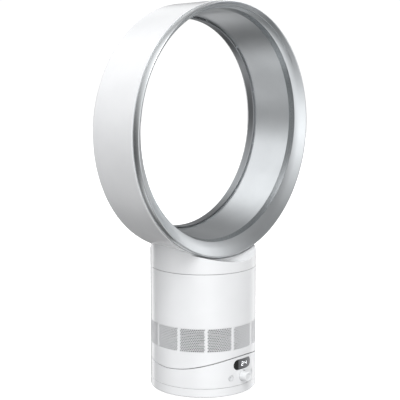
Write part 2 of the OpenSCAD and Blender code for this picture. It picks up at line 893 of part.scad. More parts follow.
// Pierced panels that fill the inlet band
module inlet_panels_set() {
    color(white) for (i = [0 : inlet_panels - 1]) rotate(-90 + i * panel_pitch) difference() {
        translate([0, 0, inlet_z + panel_fit]) rotate(-panel_angle / 2 + panel_angle_fit)
            rotate_extrude(angle = panel_angle - 2 * panel_angle_fit)
                translate([body_r - panel_t, 0]) square([panel_t, inlet_h - 2 * panel_fit]);
        for (row = [0 : inlet_rows - 1]) let (odd = row % 2)
            for (col = [0 : inlet_cols - 1 - odd])
                rotate((col - (inlet_cols - 1 - odd) / 2) * hole_col_step)
                    translate([body_r - panel_t - over, 0,
                        inlet_z + inlet_h / 2 + (row - (inlet_rows - 1) / 2) * hole_row_step])
                        rotate([0, 90, 0]) cylinder(d = inlet_hole_d, h = panel_t + 2 * over);
    }
}

// Curved floor of the body, with pillars for the motor board
module body_floor() {
    color(white) difference() {
        union() {
            tilt_shell(floor_low_r, floor_top_r, inner_r);
            intersection() {
                for (x = [-pillar_x, pillar_x], y = [-pillar_y, pillar_y])
                    translate([x, y, 0]) cylinder(r = pillar_r, h = board_z);
                tilt_drum(floor_top_r + tilt_plate / 2);
            }
        }
        for (s = [-1, 1]) translate([s * hook_x - hook_neck / 2 - fit, -hook_len / 2 - fit, 0])
            cube([hook_neck + 2 * fit, hook_len + 2 * fit, tilt_axis_z / 3]);
        for (x = [-pillar_x, pillar_x], y = [-pillar_y, pillar_y])
            translate([x, y, board_z - pillar_bite]) cylinder(r = screw_r + fit, h = pillar_bite + over);
        cylinder(r = wire_hole_r, h = tilt_axis_z / 3);
    }
}

// Hooks that hold the body down on the cradle
module tilt_hooks() {
    module slab(w, r_out, r_in, s) {
        intersection() {
            translate([s * hook_x - w / 2, -hook_len / 2, 0]) cube([w, hook_len, tilt_axis_z / 2]);
            difference() {
                tilt_drum(r_out);
                tilt_drum(r_in, body_r + 2 * over);
            }
        }
    }
    low = cradle_low_r + hook_gap;
    color(silver) for (s = [-1, 1]) union() {
        slab(hook_flange, low + hook_t, low, s);
        slab(hook_neck, low + hook_t / 2, floor_top_r - hook_t / 2, s);
        slab(hook_flange, floor_top_r - fit / 2, floor_top_r - hook_t, s);
    }
}

// Round board that feeds the motor, with its parts
module motor_board() {
    color(board_green) union() {
        difference() {
            translate([0, 0, board_z]) cylinder(r = board_r, h = board_t);
            for (x = [-pillar_x, pillar_x], y = [-pillar_y, pillar_y])
                translate([x, y, board_z - over]) cylinder(r = screw_r + fit, h = board_t + 2 * over);
            translate([0, 0, board_z - over]) cylinder(r = wire_hole_r, h = board_t + 2 * over);
        }
        for (i = [-1 : 1]) translate([i * parts_pitch, board_r / 2, board_z + board_t])
            cylinder(r = parts_r, h = parts_h);
        translate([-board_r / 4, -board_r * 3 / 4, board_z + board_t])
            cube([board_r / 2, board_r / 4, block_h]);
        translate([board_r * 2 / 5, -board_r / 6, board_z + board_t])
            cube([board_r / 5, board_r / 3, chip_h]);
    }
}

module board_screws() {
    color(steel) for (x = [-pillar_x, pillar_x], y = [-pillar_y, pillar_y])
        translate([x, y, board_z + board_t]) screw(board_t + pillar_bite - screw_gap);
}

// Foam rings that quieten the air
module lower_foam() {
    color(foam_grey) translate([0, 0, lower_foam_z])
        tube(body_ir - foam_fit, body_ir - foam_w, foam_t);
}
module upper_foam() {
    z = flange_z + flange_t + foam_fit;
    color(foam_grey) translate([0, 0, z]) difference() {
        tube(body_ir - foam_fit, housing_r + housing_wall + foam_play, collar_ledge_z - z - foam_fit);
        // Pockets for the heads of the housing's screws
        for (i = [0 : 2]) rotate(i * 120 + 60) translate([mount_screw_r, 0, -over])
            cylinder(r = screw_head_r + foam_fit, h = screw_head_t + over);
    }
}

// Soft ring between the casing's ledge and the impeller housing
module mount_ring() {
    color(dark) translate([0, 0, ledge_z + ledge_t]) difference() {
        tube(inner_r, body_ir - ledge_w, mount_t);
        for (i = [0 : 2]) rotate(i * 120 + 60) translate([mount_screw_r, 0, -over])
            cylinder(r = screw_r + fit, h = mount_t + 2 * over);
        translate([0, 0, mount_t / 2]) tube(body_r, body_ir - mount_groove, mount_t / 4);
    }
}

// Radius of the housing's bore at height z
function bore_at(z) = z <= throat_z ? throat_r
    : z >= cone_top_z ? housing_r
    : throat_r + (housing_r - throat_r) * (z - throat_z) / (cone_top_z - throat_z);

// Housing round the impeller, bell-mouthed below and hung from its flange
module impeller_housing() {
    w = housing_wall;
    bell = [throat_r + bell_r, throat_z];
    color(silver) difference() {
        rotate_extrude() polygon(concat(
            arc(bell, bell_r, 270, 180),
            [[housing_r, cone_top_z], [housing_r, housing_top], [housing_r + w, housing_top],
                [housing_r + w, cone_top_z],
                [bore_at(flange_z + flange_t) + w * 1.2, flange_z + flange_t],
                [inner_r, flange_z + flange_t], [inner_r, flange_z],
                [bore_at(flange_z) + w * 1.2, flange_z]],
            arc(bell, bell_r - w, 180, 270)));
        for (i = [0 : 2]) rotate(i * 120 + 60) translate([mount_screw_r, 0, flange_z - over])
            cylinder(r = screw_r + fit, h = flange_t + 2 * over);
    }
}

module housing_screws() {
    color(steel) for (i = [0 : 2]) rotate(i * 120 + 60)
        translate([mount_screw_r, 0, flange_z + flange_t]) screw(flange_t + mount_t + ledge_t);
}

// Hub radius of the impeller at a height above its nose
function hub_at(h) = h <= hub_low_h
    ? hub_nose_r + (hub_low_r - hub_nose_r) * h / hub_low_h
    : hub_low_r + (hub_top_r - hub_low_r) * (h - hub_low_h) / (impeller_h - hub_low_h);

// One blade: it rises from the hub to the housing and wraps backwards as it climbs
module blade() {
    rows = [for (i = [0 : blade_rows]) let (t = i / blade_rows,
            h = blade_start + (impeller_h - blade_start - blade_end_gap) * t,
            turn = blade_wrap * pow(t, blade_curve),
            r0 = hub_at(h) - blade_root, r1 = bore_at(impeller_z + h) - tip_gap,
            half = blade_t * (blade_edge_share + (1 - blade_edge_share) * sin(180 * t)) / 2)
        [for (p = [[r0, -1], [r1, -1], [r1, 1], [r0, 1]])
            let (a = -turn + p[1] * half / p[0] * 180 / PI)
            [p[0] * cos(a), p[0] * sin(a), impeller_z + h]]];
    points = [for (r = rows) each r];
    sides = [for (i = [0 : blade_rows - 1], k = [0 : 3]) let (a = 4 * i + k, b = 4 * i + (k + 1) % 4)
        each [[a, b, b + 4], [a, b + 4, a + 4]]];
    last = 4 * blade_rows;
    polyhedron(points, concat([[3, 2, 1], [3, 1, 0]], [for (f = sides) [f[2], f[1], f[0]]],
        [[last, last + 1, last + 2], [last, last + 2, last + 3]]));
}

module impeller() {
    color(silver) union() {
        difference() {
            translate([0, 0, impeller_z]) rotate_extrude() polygon([[0, 0], [hub_nose_r * 3 / 4, 0],
                [hub_nose_r, hub_low_h / 3], [hub_low_r, hub_low_h],
                [hub_top_r, impeller_h], [hub_top_r, impeller_h + hub_rim_t],
                [hub_top_r - hub_wall_t, impeller_h + hub_rim_t], [hub_low_r, hub_low_h + hub_web_h],
                [hub_low_r - hub_wall_t, hub_low_h + hub_web_h],
                [hub_low_r - hub_wall_t, impeller_h + hub_rim_t], [0, impeller_h + hub_rim_t]]);
            translate([0, 0, impeller_z - over]) cylinder(r = shaft_r, h = impeller_h + 3 * over);
        }
        for (i = [0 : blade_count - 1]) rotate(i * 360 / blade_count) blade();
    }
}

module drive_shaft() {
    color(steel) union() {
        translate([0, 0, shaft_low]) cylinder(r = shaft_r, h = bucket_z - half_seam - shaft_low);
        translate([0, 0, bucket_z - half_seam])
            cylinder(r = shaft_r - run_fit / 2, h = shaft_top - bucket_z + half_seam);
    }
}

module rotor_magnet() {
    color(dark) translate([0, 0, stator_z + fit]) tube(magnet_r, shaft_r, stator_h - 2 * fit);
}

// Bucket that holds the motor under the diffuser
module motor_bucket() {
    color(white) translate([0, 0, bucket_z]) difference() {
        union() {
            tube(bucket_r, bucket_r - bucket_wall, bucket_h);
            cylinder(r = bucket_r, h = bucket_floor);
            cylinder(r = bearing_r + bearing_seat_t, h = bucket_floor + bearing_t - seat_short);
        }
        translate([0, 0, bucket_floor]) cylinder(r = bearing_r, h = bearing_t);
        translate([0, 0, -over]) cylinder(r = shaft_r + shaft_play, h = bucket_h);
        for (i = [0 : 2]) rotate(i * 120)
            translate([bucket_r - bucket_wall / 2, 0, bucket_h - dowel_len / 2 - dowel_gap])
                cylinder(r = dowel_r + fit / 2, h = dowel_len);
    }
}

// Domed lid of the bucket, with the upper bearing's seat
module motor_cap() {
    color(white) translate([0, 0, cap_z]) difference() {
        union() {
            difference() {
                rotate_extrude() polygon(concat([[0, 0], [bucket_r, 0]],
                    arc([bucket_r - cap_round, cap_h - cap_round], cap_round, 0, 90), [[0, cap_h]]));
                translate([0, 0, -over]) rotate_extrude() polygon(concat(
                    [[0, 0], [bucket_r - bucket_wall, 0]],
                    arc([bucket_r - bucket_wall - cap_round, cap_h - cap_round - cap_skin],
                        cap_round, 0, 90), [[0, cap_h - cap_skin]]));
            }
            translate([0, 0, cap_bearing])
                cylinder(r = bearing_r + bearing_seat_t, h = cap_h - cap_bearing - cap_skin / 2);
        }
        translate([0, 0, cap_bearing - over]) cylinder(r = bearing_r, h = bearing_t + over);
        translate([0, 0, cap_bearing]) cylinder(r = shaft_r + shaft_play, h = cap_h - cap_bearing - cap_skin);
        for (i = [0 : 2]) rotate(i * 120) translate([bucket_r - bucket_wall / 2, 0, -over])
            cylinder(r = dowel_r + fit / 2, h = dowel_len / 2 + dowel_gap + over);
    }
}

// Dowels that key the lid to the bucket
module cap_dowels() {
    color(steel) for (i = [0 : 2]) rotate(i * 120)
        translate([bucket_r - bucket_wall / 2, 0, cap_z - dowel_len / 2])
            cylinder(r = dowel_r, h = dowel_len);
}

// Laminated core with its teeth
module motor_stator() {
    bore = magnet_r + magnet_gap;
    color(steel) translate([0, 0, stator_z]) union() {
        tube(stator_r, stator_r - stator_yoke, stator_h);
        for (i = [0 : stator_teeth - 1]) rotate(i * 360 / stator_teeth) {
            translate([bore + tooth_tip_t / 2, -tooth_w / 2, 0])
                cube([stator_r - stator_yoke / 2 - bore, tooth_w, stator_h]);
            intersection() {
                translate([bore - over, -tooth_tip_w / 2, 0])
                    cube([tooth_tip_t + 2 * over, tooth_tip_w, stator_h]);
                tube(bore + tooth_tip_t, bore, stator_h);
            }
        }
    }
}

// One wound coil on each tooth
module stator_coils() {
    r0 = magnet_r + magnet_gap + tooth_tip_t + coil_gap;
    r1 = stator_r - stator_yoke - coil_gap;
    color(copper) for (i = [0 : stator_teeth - 1]) rotate(i * 360 / stator_teeth)
        translate([r0, 0, stator_z + stator_h / 2]) difference() {
            translate([0, -tooth_w / 2 - coil_t, -stator_h / 2 - coil_end_t])
                cube([r1 - r0, tooth_w + 2 * coil_t, stator_h + 2 * coil_end_t]);
            translate([-over, -tooth_w / 2 - fit / 2, -stator_h / 2 - fit / 2])
                cube([r1 - r0 + 2 * over, tooth_w + fit, stator_h + fit]);
        }
}

// Ball bearing: two rings with a ring of balls between shields
module bearing() {
    color(steel) union() {
        tube(bearing_r - fit / 2, bearing_r - outer_race_t, bearing_t);
        tube(shaft_r + inner_race_t, shaft_r + run_fit / 2, bearing_t);
        translate([0, 0, shield_sink]) tube(bearing_r - outer_race_t + shield_lap,
            shaft_r + inner_race_t - shield_lap, bearing_t - 2 * shield_sink);
    }
}
module lower_bearing() { translate([0, 0, bucket_z + bucket_floor]) bearing(); }
module upper_bearing() { translate([0, 0, cap_z + cap_bearing]) bearing(); }

// Ring of leaning vanes that hangs the motor bucket in the housing
module diffuser() {
    in = bucket_r + fit;
    out = housing_r - fit;
    curve = vane_h * vane_curve_share;
    color(silver) translate([0, 0, vane_z]) union() {
        tube(in + diffuser_ring, in, vane_h);
        tube(out, out - diffuser_ring, vane_h);
        intersection() {
            translate([0, 0, vane_trim])
                tube(out - diffuser_ring / 2, in + diffuser_ring / 2, vane_h - 2 * vane_trim);
            for (i = [0 : vane_count - 1]) rotate(i * 360 / vane_count)
                translate([in, 0, 0]) rotate([90, 0, 90]) linear_extrude(out - in) polygon(concat(
                    arc([-curve, vane_h], curve, -vane_sweep, 0, 6),
                    arc([-curve, vane_h], curve - vane_t, 0, -vane_sweep, 6)));
        }
    }
}

// Collar on top of the body, with three bayonet slots
module loop_collar() {
    flange = collar_ledge_z + ledge_t;
    slot_sweep = lug_angle + twist_travel + 2 * lug_slack;
    color(white) difference() {
        union() {
            translate([0, 0, flange]) tube(inner_r, collar_in, collar_flange_t);
            translate([0, 0, flange]) tube(collar_r, collar_r - collar_wall, collar_top - flange);
        }
        translate([0, 0, seal_z]) rotate_extrude()
            translate([seal_r, 0]) circle(r = seal_tube + fit / 2, $fn = facet);
        for (a = lug_places) {
            translate([0, 0, lug_z - lug_gap]) rotate(a - lug_angle / 2 - lug_slack)
                rotate_extrude(angle = slot_sweep)
                    translate([lug_in - lug_gap, 0]) square([collar_wall, lug_t + 2 * lug_gap]);
            translate([0, 0, lug_z]) rotate(a + twist_travel - lug_angle / 2 - lug_entry_slack)
                rotate_extrude(angle = lug_angle + 2 * lug_entry_slack)
                    translate([lug_in - 1.5 * lug_gap, 0]) square([collar_wall, collar_top]);
        }
        for (i = [0 : 2]) rotate(i * 120 + 60) translate([collar_screw_r, 0, flange - over])
            cylinder(r = screw_r + fit, h = collar_flange_t + 2 * over);
    }
}

module collar_screws() {
    color(steel) for (i = [0 : 2]) rotate(i * 120 + 60)
        translate([collar_screw_r, 0, collar_ledge_z + ledge_t + collar_flange_t])
            screw(collar_flange_t + ledge_t);
}

module neck_seal() {
    color(dark) translate([0, 0, seal_z]) rotate_extrude()
        translate([seal_r, 0]) circle(r = seal_tube, $fn = facet);
}

// Outer radius of the loop's shell at depth y
function loop_r(y) = front_r + (rear_r - front_r) * (y - joint_y) / (loop_rear - rear_round - joint_y);

// Solid of the loop's outside, drawn in by w
module loop_outside(w, y0) {
    spun(rim_z) polygon(concat([[0, y0], [loop_r(y0) - w, y0]],
        arc([rear_r - rear_round, loop_rear - rear_round], rear_round - w, 0, 90),
        [[0, loop_rear - w]]));
}

// Solid of the loop's hole, let out by w; the rear lip is its narrowest place
module loop_hole(w, y0) {
    spun(loop_z) polygon(concat([[0, y0], [lip_r + w, y0]],
        arc([lip_r + lip_round, loop_rear - lip_round], lip_round - w, 180, 90),
        [[lip_r + lip_round, loop_rear + over], [0, loop_rear + over]]));
}

// Solid that the loop rests its neck against, let out by w
module shelf_cut(w) {
    y0 = -body_r - over;
    y1 = body_r + over;
    spun(rim_z) polygon([[0, y0], [shelf_r + w, y0], [shelf_r + w, joint_y],
        [loop_r(joint_y) - loop_wall / 2 + w, joint_y],
        [rear_r - loop_wall / 2 + w, loop_rear - rear_round],
        [rear_r + shelf_gap / 2 + w, loop_rear], [shelf_r + w, loop_rear + shelf_back],
        [shelf_r + w, y1], [0, y1]]);
}

// White outside of the loop, its rear lip and its neck, in one moulding
module loop_shell() {
    neck_z = seam_z + half_seam;
    neck_h = rim_z - front_r + neck_rise - neck_z;
    color(white) difference() {
        union() {
            difference() {
                loop_outside(0, joint_y);
                loop_hole(0, joint_y - over);
            }
            difference() {
                translate([0, 0, neck_z]) cylinder(r = body_r, h = neck_h);
                shelf_cut(0);
            }
        }
        // Air space inside the loop, which leaves the lip standing
        difference() {
            loop_outside(loop_wall, joint_y - over);
            loop_hole(lip_wall, lip_tip_y);
        }
        // Bore of the neck, which leaves the shelves standing
        difference() {
            translate([0, 0, neck_z - over]) cylinder(r = body_ir, h = neck_h);
            shelf_cut(shelf_wall);
        }
        // Way from the neck into the loop
        intersection() {
            translate([0, 0, neck_z]) cylinder(r = passage_r, h = passage_top - neck_z);
            translate([-body_r, -passage_y, neck_z]) cube([body_d, 2 * passage_y, passage_top - neck_z]);
        }
    }
    color(white) for (a = lug_places) translate([0, 0, lug_z]) rotate(a - lug_angle / 2)
        rotate_extrude(angle = lug_angle) translate([lug_in, 0]) square([body_ir + wall / 2 - lug_in, lug_t]);
}

// Solid inside the bevel, let out by w; it runs between two circles that aren't concentric
module bevel_cut(w) {
    hull() {
        translate([0, joint_y + 2 * disc_t, loop_z]) rotate([90, 0, 0])
            cylinder(r = bevel_r + w, h = disc_t, $fn = 144);
        translate([0, -loop_front - disc_t, rim_z]) rotate([90, 0, 0])
            cylinder(r = rim_r - rim_round - rim_land + w, h = disc_t, $fn = 144);
    }
}

// Silver ring at the front: a band outside, a rounded rim and the wide bevel inside
module front_ring() {
    in = bevel_r - 2 * loop_drop - over;
    color(silver) difference() {
        spun(rim_z) polygon(concat([[in, joint_y], [in, -loop_front]],
            arc([rim_r - rim_round, -loop_front + rim_round], rim_round, 270, 360),
            [[rim_r, joint_y]]));
        bevel_cut(0);
        // Hollow behind the bevel
        difference() {
            spun(rim_z) polygon([[0, joint_y + over], [0, joint_y - hollow_depth],
                [rim_r - rim_wall, joint_y - hollow_depth], [rim_r - rim_wall, joint_y + over]]);
            bevel_cut(rim_wall);
        }
    }
}

// Silver inside of the loop: front web, guide band, diffuser and the curve at the slot
module inner_casing() {
    w = loop_wall;
    curl = [slot_r + curl_r, lip_tip_y + curl_len];
    end = 180 - coanda_sweep;
    color(silver) union() {
        spun(loop_z) polygon(concat(
            [[bevel_r, joint_y], [guide_r, guide_y], [diffuser_r, throat_y], [slot_r, lip_tip_y]],
            arc(curl, curl_r, 180, end, 6),
            arc(curl, curl_r - w + lip_taper, end, 180, 6),
            [[diffuser_r + w, throat_y], [guide_r + w, guide_y + taper_sink],
                [bevel_r + w, joint_y + web_t],
                [bevel_r + w, joint_y]]));
        difference() {
            spun(rim_z) polygon([[0, joint_y], [loop_r(joint_y) - w - fit, joint_y],
                [loop_r(joint_y) - w - 2 * fit, joint_y + web_t], [0, joint_y + web_t]]);
            spun(loop_z) polygon([[0, joint_y - over], [bevel_r + w / 2, joint_y - over],
                [bevel_r + w / 2, joint_y + web_t + over], [0, joint_y + web_t + over]]);
        }
    }
}

// Small blocks that keep the air slot open
module slot_spacers() {
    color(silver) translate([0, 0, loop_z]) for (i = [0 : spacer_count - 1])
        rotate([0, (i + 1 / 2) * 360 / spacer_count, 0]) rotate([-90, 0, 0])
            rotate_extrude(angle = spacer_w / lip_r * 180 / PI)
                translate([lip_r + lip_wall + fit / 2, lip_tip_y])
                    square([slot_gap - fit, spacer_len]);
}

base_plate();
rubber_pads();
sector_gear();
gear_screws();
pivot_post();
post_clip();
slide_ring();
cord_gland();
turntable();
control_shell();
shell_screws();
tilt_cradle();
swing_motor();
motor_screws();
control_board();
display_module();
display_window();
knob_encoder();
button_switches();
drive_pinion();
power_button();
swing_button();
speed_knob();
body_shell();
inlet_panels_set();
body_floor();
tilt_hooks();
motor_board();
board_screws();
lower_foam();
mount_ring();
impeller_housing();
housing_screws();
motor_bucket();
motor_cap();
cap_dowels();
motor_stator();
stator_coils();
lower_bearing();
upper_bearing();
diffuser();
upper_foam();
loop_collar();
collar_screws();
neck_seal();
impeller();
drive_shaft();
rotor_magnet();
loop_shell();
front_ring();
inner_casing();
slot_spacers();
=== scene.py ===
import json
import math
import bmesh
import bpy
import numpy as np
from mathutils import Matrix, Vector


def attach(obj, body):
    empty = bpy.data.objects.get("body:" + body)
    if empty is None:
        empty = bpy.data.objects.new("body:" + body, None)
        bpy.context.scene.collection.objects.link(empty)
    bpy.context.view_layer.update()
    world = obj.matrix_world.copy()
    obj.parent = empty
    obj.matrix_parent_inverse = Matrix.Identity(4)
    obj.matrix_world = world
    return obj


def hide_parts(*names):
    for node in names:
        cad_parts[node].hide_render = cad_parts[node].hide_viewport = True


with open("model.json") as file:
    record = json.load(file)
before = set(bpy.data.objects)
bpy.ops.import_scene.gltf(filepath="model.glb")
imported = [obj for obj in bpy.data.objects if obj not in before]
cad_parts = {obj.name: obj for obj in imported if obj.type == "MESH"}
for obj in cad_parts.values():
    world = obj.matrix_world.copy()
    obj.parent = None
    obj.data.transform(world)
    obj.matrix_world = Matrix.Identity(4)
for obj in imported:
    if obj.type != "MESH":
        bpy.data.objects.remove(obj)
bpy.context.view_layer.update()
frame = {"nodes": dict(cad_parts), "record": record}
mm = 0.001
print("frame loaded:", len(frame["nodes"]), "nodes")


# A mesh from points in millimetres and faces, shaded smooth but for edges sharper than the
# angle. Its finish is that of its slot unless another is named.
def makeMesh(name, points, faces, body, slot, finish=None, sharpAngle=32):
    mesh = bpy.data.meshes.new(name)
    mesh.from_pydata((np.asarray(points) * mm).tolist(), [], [list(map(int, f)) for f in faces])
    mesh.polygons.foreach_set("use_smooth", np.ones(len(mesh.polygons), bool))
    mesh.set_sharp_from_angle(angle=math.radians(sharpAngle))
    mesh.materials.append(materials[finish or slot])
    mesh.update()
    piece = bpy.data.objects.new(name, mesh)
    bpy.context.scene.collection.objects.link(piece)
    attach(piece, body)
    return piece


# Quads of a grid of rows and columns; wrap joins the last row or column to the first.
def gridQuads(rows, cols, wrapRows=False, wrapCols=False):
    i = np.arange(rows if wrapRows else rows - 1)[:, None]
    j = np.arange(cols if wrapCols else cols - 1)[None, :]
    a = (i % rows) * cols + j % cols
    b = (i % rows) * cols + (j + 1) % cols
    c = ((i + 1) % rows) * cols + (j + 1) % cols
    d = ((i + 1) % rows) * cols + j % cols
    return np.stack([a, b, c, d], -1).reshape(-1, 4)


# Points and quads of rows of heights (or of one height each) over columns of angle.
def angleGrid(cols, heights, wrap=False):
    heights = heights + 0 * cols
    flat = np.stack([np.broadcast_to(cols, heights.shape), heights], -1)
    return flat.reshape(-1, 2), gridQuads(*heights.shape, False, wrap)


# Several lots of points and quads as one: the quads count on from the lots before.
def joined(lots):
    starts = np.cumsum([0] + [len(points) for points, _ in lots])
    return (np.concatenate([points for points, _ in lots]),
            np.concatenate([quads + start for (_, quads), start in zip(lots, starts)]))


# A closed outline of (radius, height, round): each corner becomes an arc that touches both of
# its sides and takes at most a share of either, and a guard beside each end of the arc keeps
# the sides flat.
def softCorners(corners, steps=4, guard=0.35, most=0.45):
    spots = np.array(corners, float)[:, :2]
    rows = []
    for k, (p, (_, _, r)) in enumerate(zip(spots, corners)):
        if r <= 0:
            rows.append(p)
            continue
        u, v = spots[k - 1] - p, spots[(k + 1) % len(spots)] - p
        lu, lv = np.hypot(*u), np.hypot(*v)
        u, v = u / lu, v / lv
        half = math.acos(max(-1, min(1, float(u @ v)))) / 2
        cut = min(r / math.tan(half), most * lu, most * lv)
        r = cut * math.tan(half)
        centre = p + (u + v) / np.hypot(*(u + v)) * (r / math.sin(half))
        a0 = math.atan2(*(p + u * cut - centre)[::-1])
        a1 = math.atan2(*(p + v * cut - centre)[::-1])
        turn = (a1 - a0 + math.pi) % (2 * math.pi) - math.pi
        angles = a0 + turn * np.linspace(0, 1, steps + 1)
        arc = centre + r * np.stack([np.cos(angles), np.sin(angles)], -1)
        rows += [p + u * cut * (1 + guard), *arc, p + v * cut * (1 + guard)]
    return np.array(rows)


# A closed outline of (radius, depth, centre height) turned about the blowing axis; every row
# has a centre of its own, so a surface may run between circles that aren't concentric.
def turnedAboutBlowing(outline, count=288):
    a = np.linspace(0, 2 * np.pi, count, endpoint=False)[None, :]
    r, y, c = (outline[:, k][:, None] for k in range(3))
    pts = np.stack([r * np.cos(a), y + 0 * a, c + r * np.sin(a)], -1)
    return pts.reshape(-1, 3), gridQuads(len(outline), count, True, True)


# A closed outline of (radius, height) turned about the upright axis.
def turnedAboutUpright(outline, count=192):
    a = np.linspace(0, 2 * np.pi, count, endpoint=False)[None, :]
    r, z = outline[:, 0][:, None], outline[:, 1][:, None]
    pts = np.stack([r * np.cos(a), r * np.sin(a), z + 0 * a], -1)
    return pts.reshape(-1, 3), gridQuads(len(outline), count, True, True)


# An open outline of (radius, depth) turned about a line that points forward from the body at
# the given bearing and height; a flat face closes each end.
def turnedForward(outline, bearing, height, count=64):
    a = np.linspace(0, 2 * np.pi, count, endpoint=False)[None, :]
    r, d = outline[:, 0][:, None], outline[:, 1][:, None]
    t = math.radians(bearing)
    side = np.array([math.cos(t), math.sin(t), 0])
    out = np.array([math.sin(t), -math.cos(t), 0])
    up = np.array([0, 0, 1])
    pts = (side * (r * np.cos(a))[..., None] + up * (r * np.sin(a))[..., None]
           + out * (d + 0 * a)[..., None] + up * height).reshape(-1, 3)
    quads = [tuple(q) for q in gridQuads(len(outline), count, False, True)]
    ends = [list(range(count))[::-1], list(range(len(pts) - count, len(pts)))]
    return pts, quads + ends


# Faces turned so that they point away from the inside of a closed mesh.
def faceOutward(piece):
    work = bmesh.new()
    work.from_mesh(piece.data)
    bmesh.ops.remove_doubles(work, verts=work.verts, dist=1e-7)
    bmesh.ops.recalc_face_normals(work, faces=work.faces)
    work.to_mesh(piece.data)
    work.free()
    return piece


# A flat pattern of points (angle in degrees, height) and quads, bent round the upright axis
# with a wall: the outer skin, the inner skin and a strip along every open edge.
def bentPlate(flat, quads, outerR, innerR):
    flat[:, 0] = np.round((flat[:, 0] + 180) % 360 - 180, 6)
    flat[flat[:, 0] >= 180 - 1e-5, 0] = -180  # both sides of the join at the back
    # Points that share a place become one
    _, first, inverse = np.unique(np.round(flat, 4), axis=0, return_index=True, return_inverse=True)
    flat = flat[first]
    quads = inverse.reshape(-1)[quads]
    phi, count = np.radians(flat[:, 0]), len(flat)
    skins = [np.stack([r * np.sin(phi), -r * np.cos(phi), flat[:, 1]], -1) for r in (outerR, innerR)]
    # An edge that only one quad uses is an open one
    edges = np.stack([quads, np.roll(quads, -1, 1)], -1).reshape(-1, 2)
    edges = edges[edges[:, 0] != edges[:, 1]]
    code = edges.min(1) * (count + 1) + edges.max(1)
    _, index, uses = np.unique(code, return_index=True, return_counts=True)
    rim = edges[index[uses == 1]]
    walls = np.stack([rim[:, 1], rim[:, 0], rim[:, 0] + count, rim[:, 1] + count], -1)
    faces = [[int(v) for k, v in enumerate(q) if v != q[k - 1]]
             for q in np.concatenate([quads, quads[:, ::-1] + count, walls])]
    return np.concatenate(skins), faces


# A second finish on the faces whose middle lies in a band of radius about the axis at axisZ
# and of depth.
def paintBand(piece, material, radii, depths, axisZ):
    mesh = piece.data
    mesh.materials.append(material)
    mid = np.zeros(len(mesh.polygons) * 3)
    mesh.polygons.foreach_get("center", mid)
    mid = mid.reshape(-1, 3) / mm
    r = np.hypot(mid[:, 0], mid[:, 2] - axisZ)
    pick = (r > radii[0]) & (r < radii[1]) & (mid[:, 1] > depths[0]) & (mid[:, 1] < depths[1])
    mesh.polygons.foreach_set("material_index", pick.astype(np.int32))
    mesh.update()


# Soft edges by a narrow bevel, with the flats kept flat.
def softenEdges(piece, width, steps=2, angle=35):
    bevel = piece.modifiers.new("softEdges", "BEVEL")
    bevel.width = width * mm
    bevel.segments = steps
    bevel.limit_method = "ANGLE"
    bevel.angle_limit = math.radians(angle)
    bevel.harden_normals = True


# Numbers and colours are set on a node's sockets, and other nodes' outputs are linked to them.
def setSockets(tree, node, values):
    for key, value in values.items():
        if isinstance(value, bpy.types.NodeSocket):
            tree.links.new(value, node.inputs[key])
        else:
            node.inputs[key].default_value = value


# A new node with its sockets set.
def addNode(tree, kind, values):
    node = tree.nodes.new("ShaderNode" + kind)
    setSockets(tree, node, values)
    return node


# A colour made lighter and darker along a ramp; each stop is its place and the share of the
# colour there.
def toneRamp(tree, along, colour, stops):
    ramp = addNode(tree, "ValToRGB", {"Fac": along})
    marks = ramp.color_ramp.elements
    while len(marks) < len(stops):
        marks.new(0.5)
    for mark, (place, share) in zip(marks, stops):
        mark.position = place
        mark.color = (*[min(1, c * share) for c in colour], 1)
    return ramp.outputs["Color"]


# What a finish has unless it says otherwise: the scales are per metre, skinDepth is in metres,
# and the changes are shares each way.
plainLook = {"driftScale": 22, "toneChange": 0.02, "skinScale": 900, "skin": 0.04, "skinDepth": 0.0002,
             "roughChange": 0.15, "metallic": 0, "coat": 0, "coatRough": 0.08, "glow": 0, "smokeAndReflection": None}


# Moulded finish: a slow drift of tone, a finer drift of roughness and a faint skin in the bump,
# all from the object's own coordinates. A smoked one has tones from its left to its right: its
# smoked tint, and a painted reflection that lightens the grey towards the right.
def mouldedFinish(name, colour, rough, ownLook):
    look = {**plainLook, **ownLook}
    mat = bpy.data.materials.new(name)
    mat.use_nodes = True
    tree = mat.node_tree
    place = addNode(tree, "TexCoord", {}).outputs["Object"]
    if look["smokeAndReflection"]:
        sideways = addNode(tree, "SeparateXYZ", {0: place}).outputs["X"]
        reach = look["smokeAndReflectionReach"] * mm
        along = addNode(tree, "MapRange", {"From Min": -reach, "From Max": reach, "Value": sideways})
        tone = toneRamp(tree, along.outputs["Result"], colour, look["smokeAndReflection"])
    else:
        drift = addNode(tree, "TexNoise", {"Scale": look["driftScale"], "Detail": 3, "Vector": place})
        change = look["toneChange"]
        tone = toneRamp(tree, drift.outputs["Fac"], colour, ((0.3, 1 - change), (0.7, 1 + change)))
    fine = addNode(tree, "TexNoise", {"Scale": look["skinScale"], "Detail": 2, "Vector": place})
    spread = addNode(tree, "MapRange", {"To Min": rough * (1 - look["roughChange"]),
                                        "To Max": rough * (1 + look["roughChange"]),
                                        "Value": fine.outputs["Fac"]})
    bump = addNode(tree, "Bump", {"Strength": look["skin"], "Distance": look["skinDepth"],
                                  "Height": fine.outputs["Fac"]})
    skin = tree.nodes["Principled BSDF"]
    setSockets(tree, skin, {"Base Color": tone, "Roughness": spread.outputs["Result"],
                            "Normal": bump.outputs["Normal"], "Metallic": look["metallic"],
                            "Coat Weight": look["coat"], "Coat Roughness": look["coatRough"]})
    if look["glow"]:
        setSockets(tree, skin, {"Emission Color": (*colour, 1), "Emission Strength": look["glow"]})
    return mat
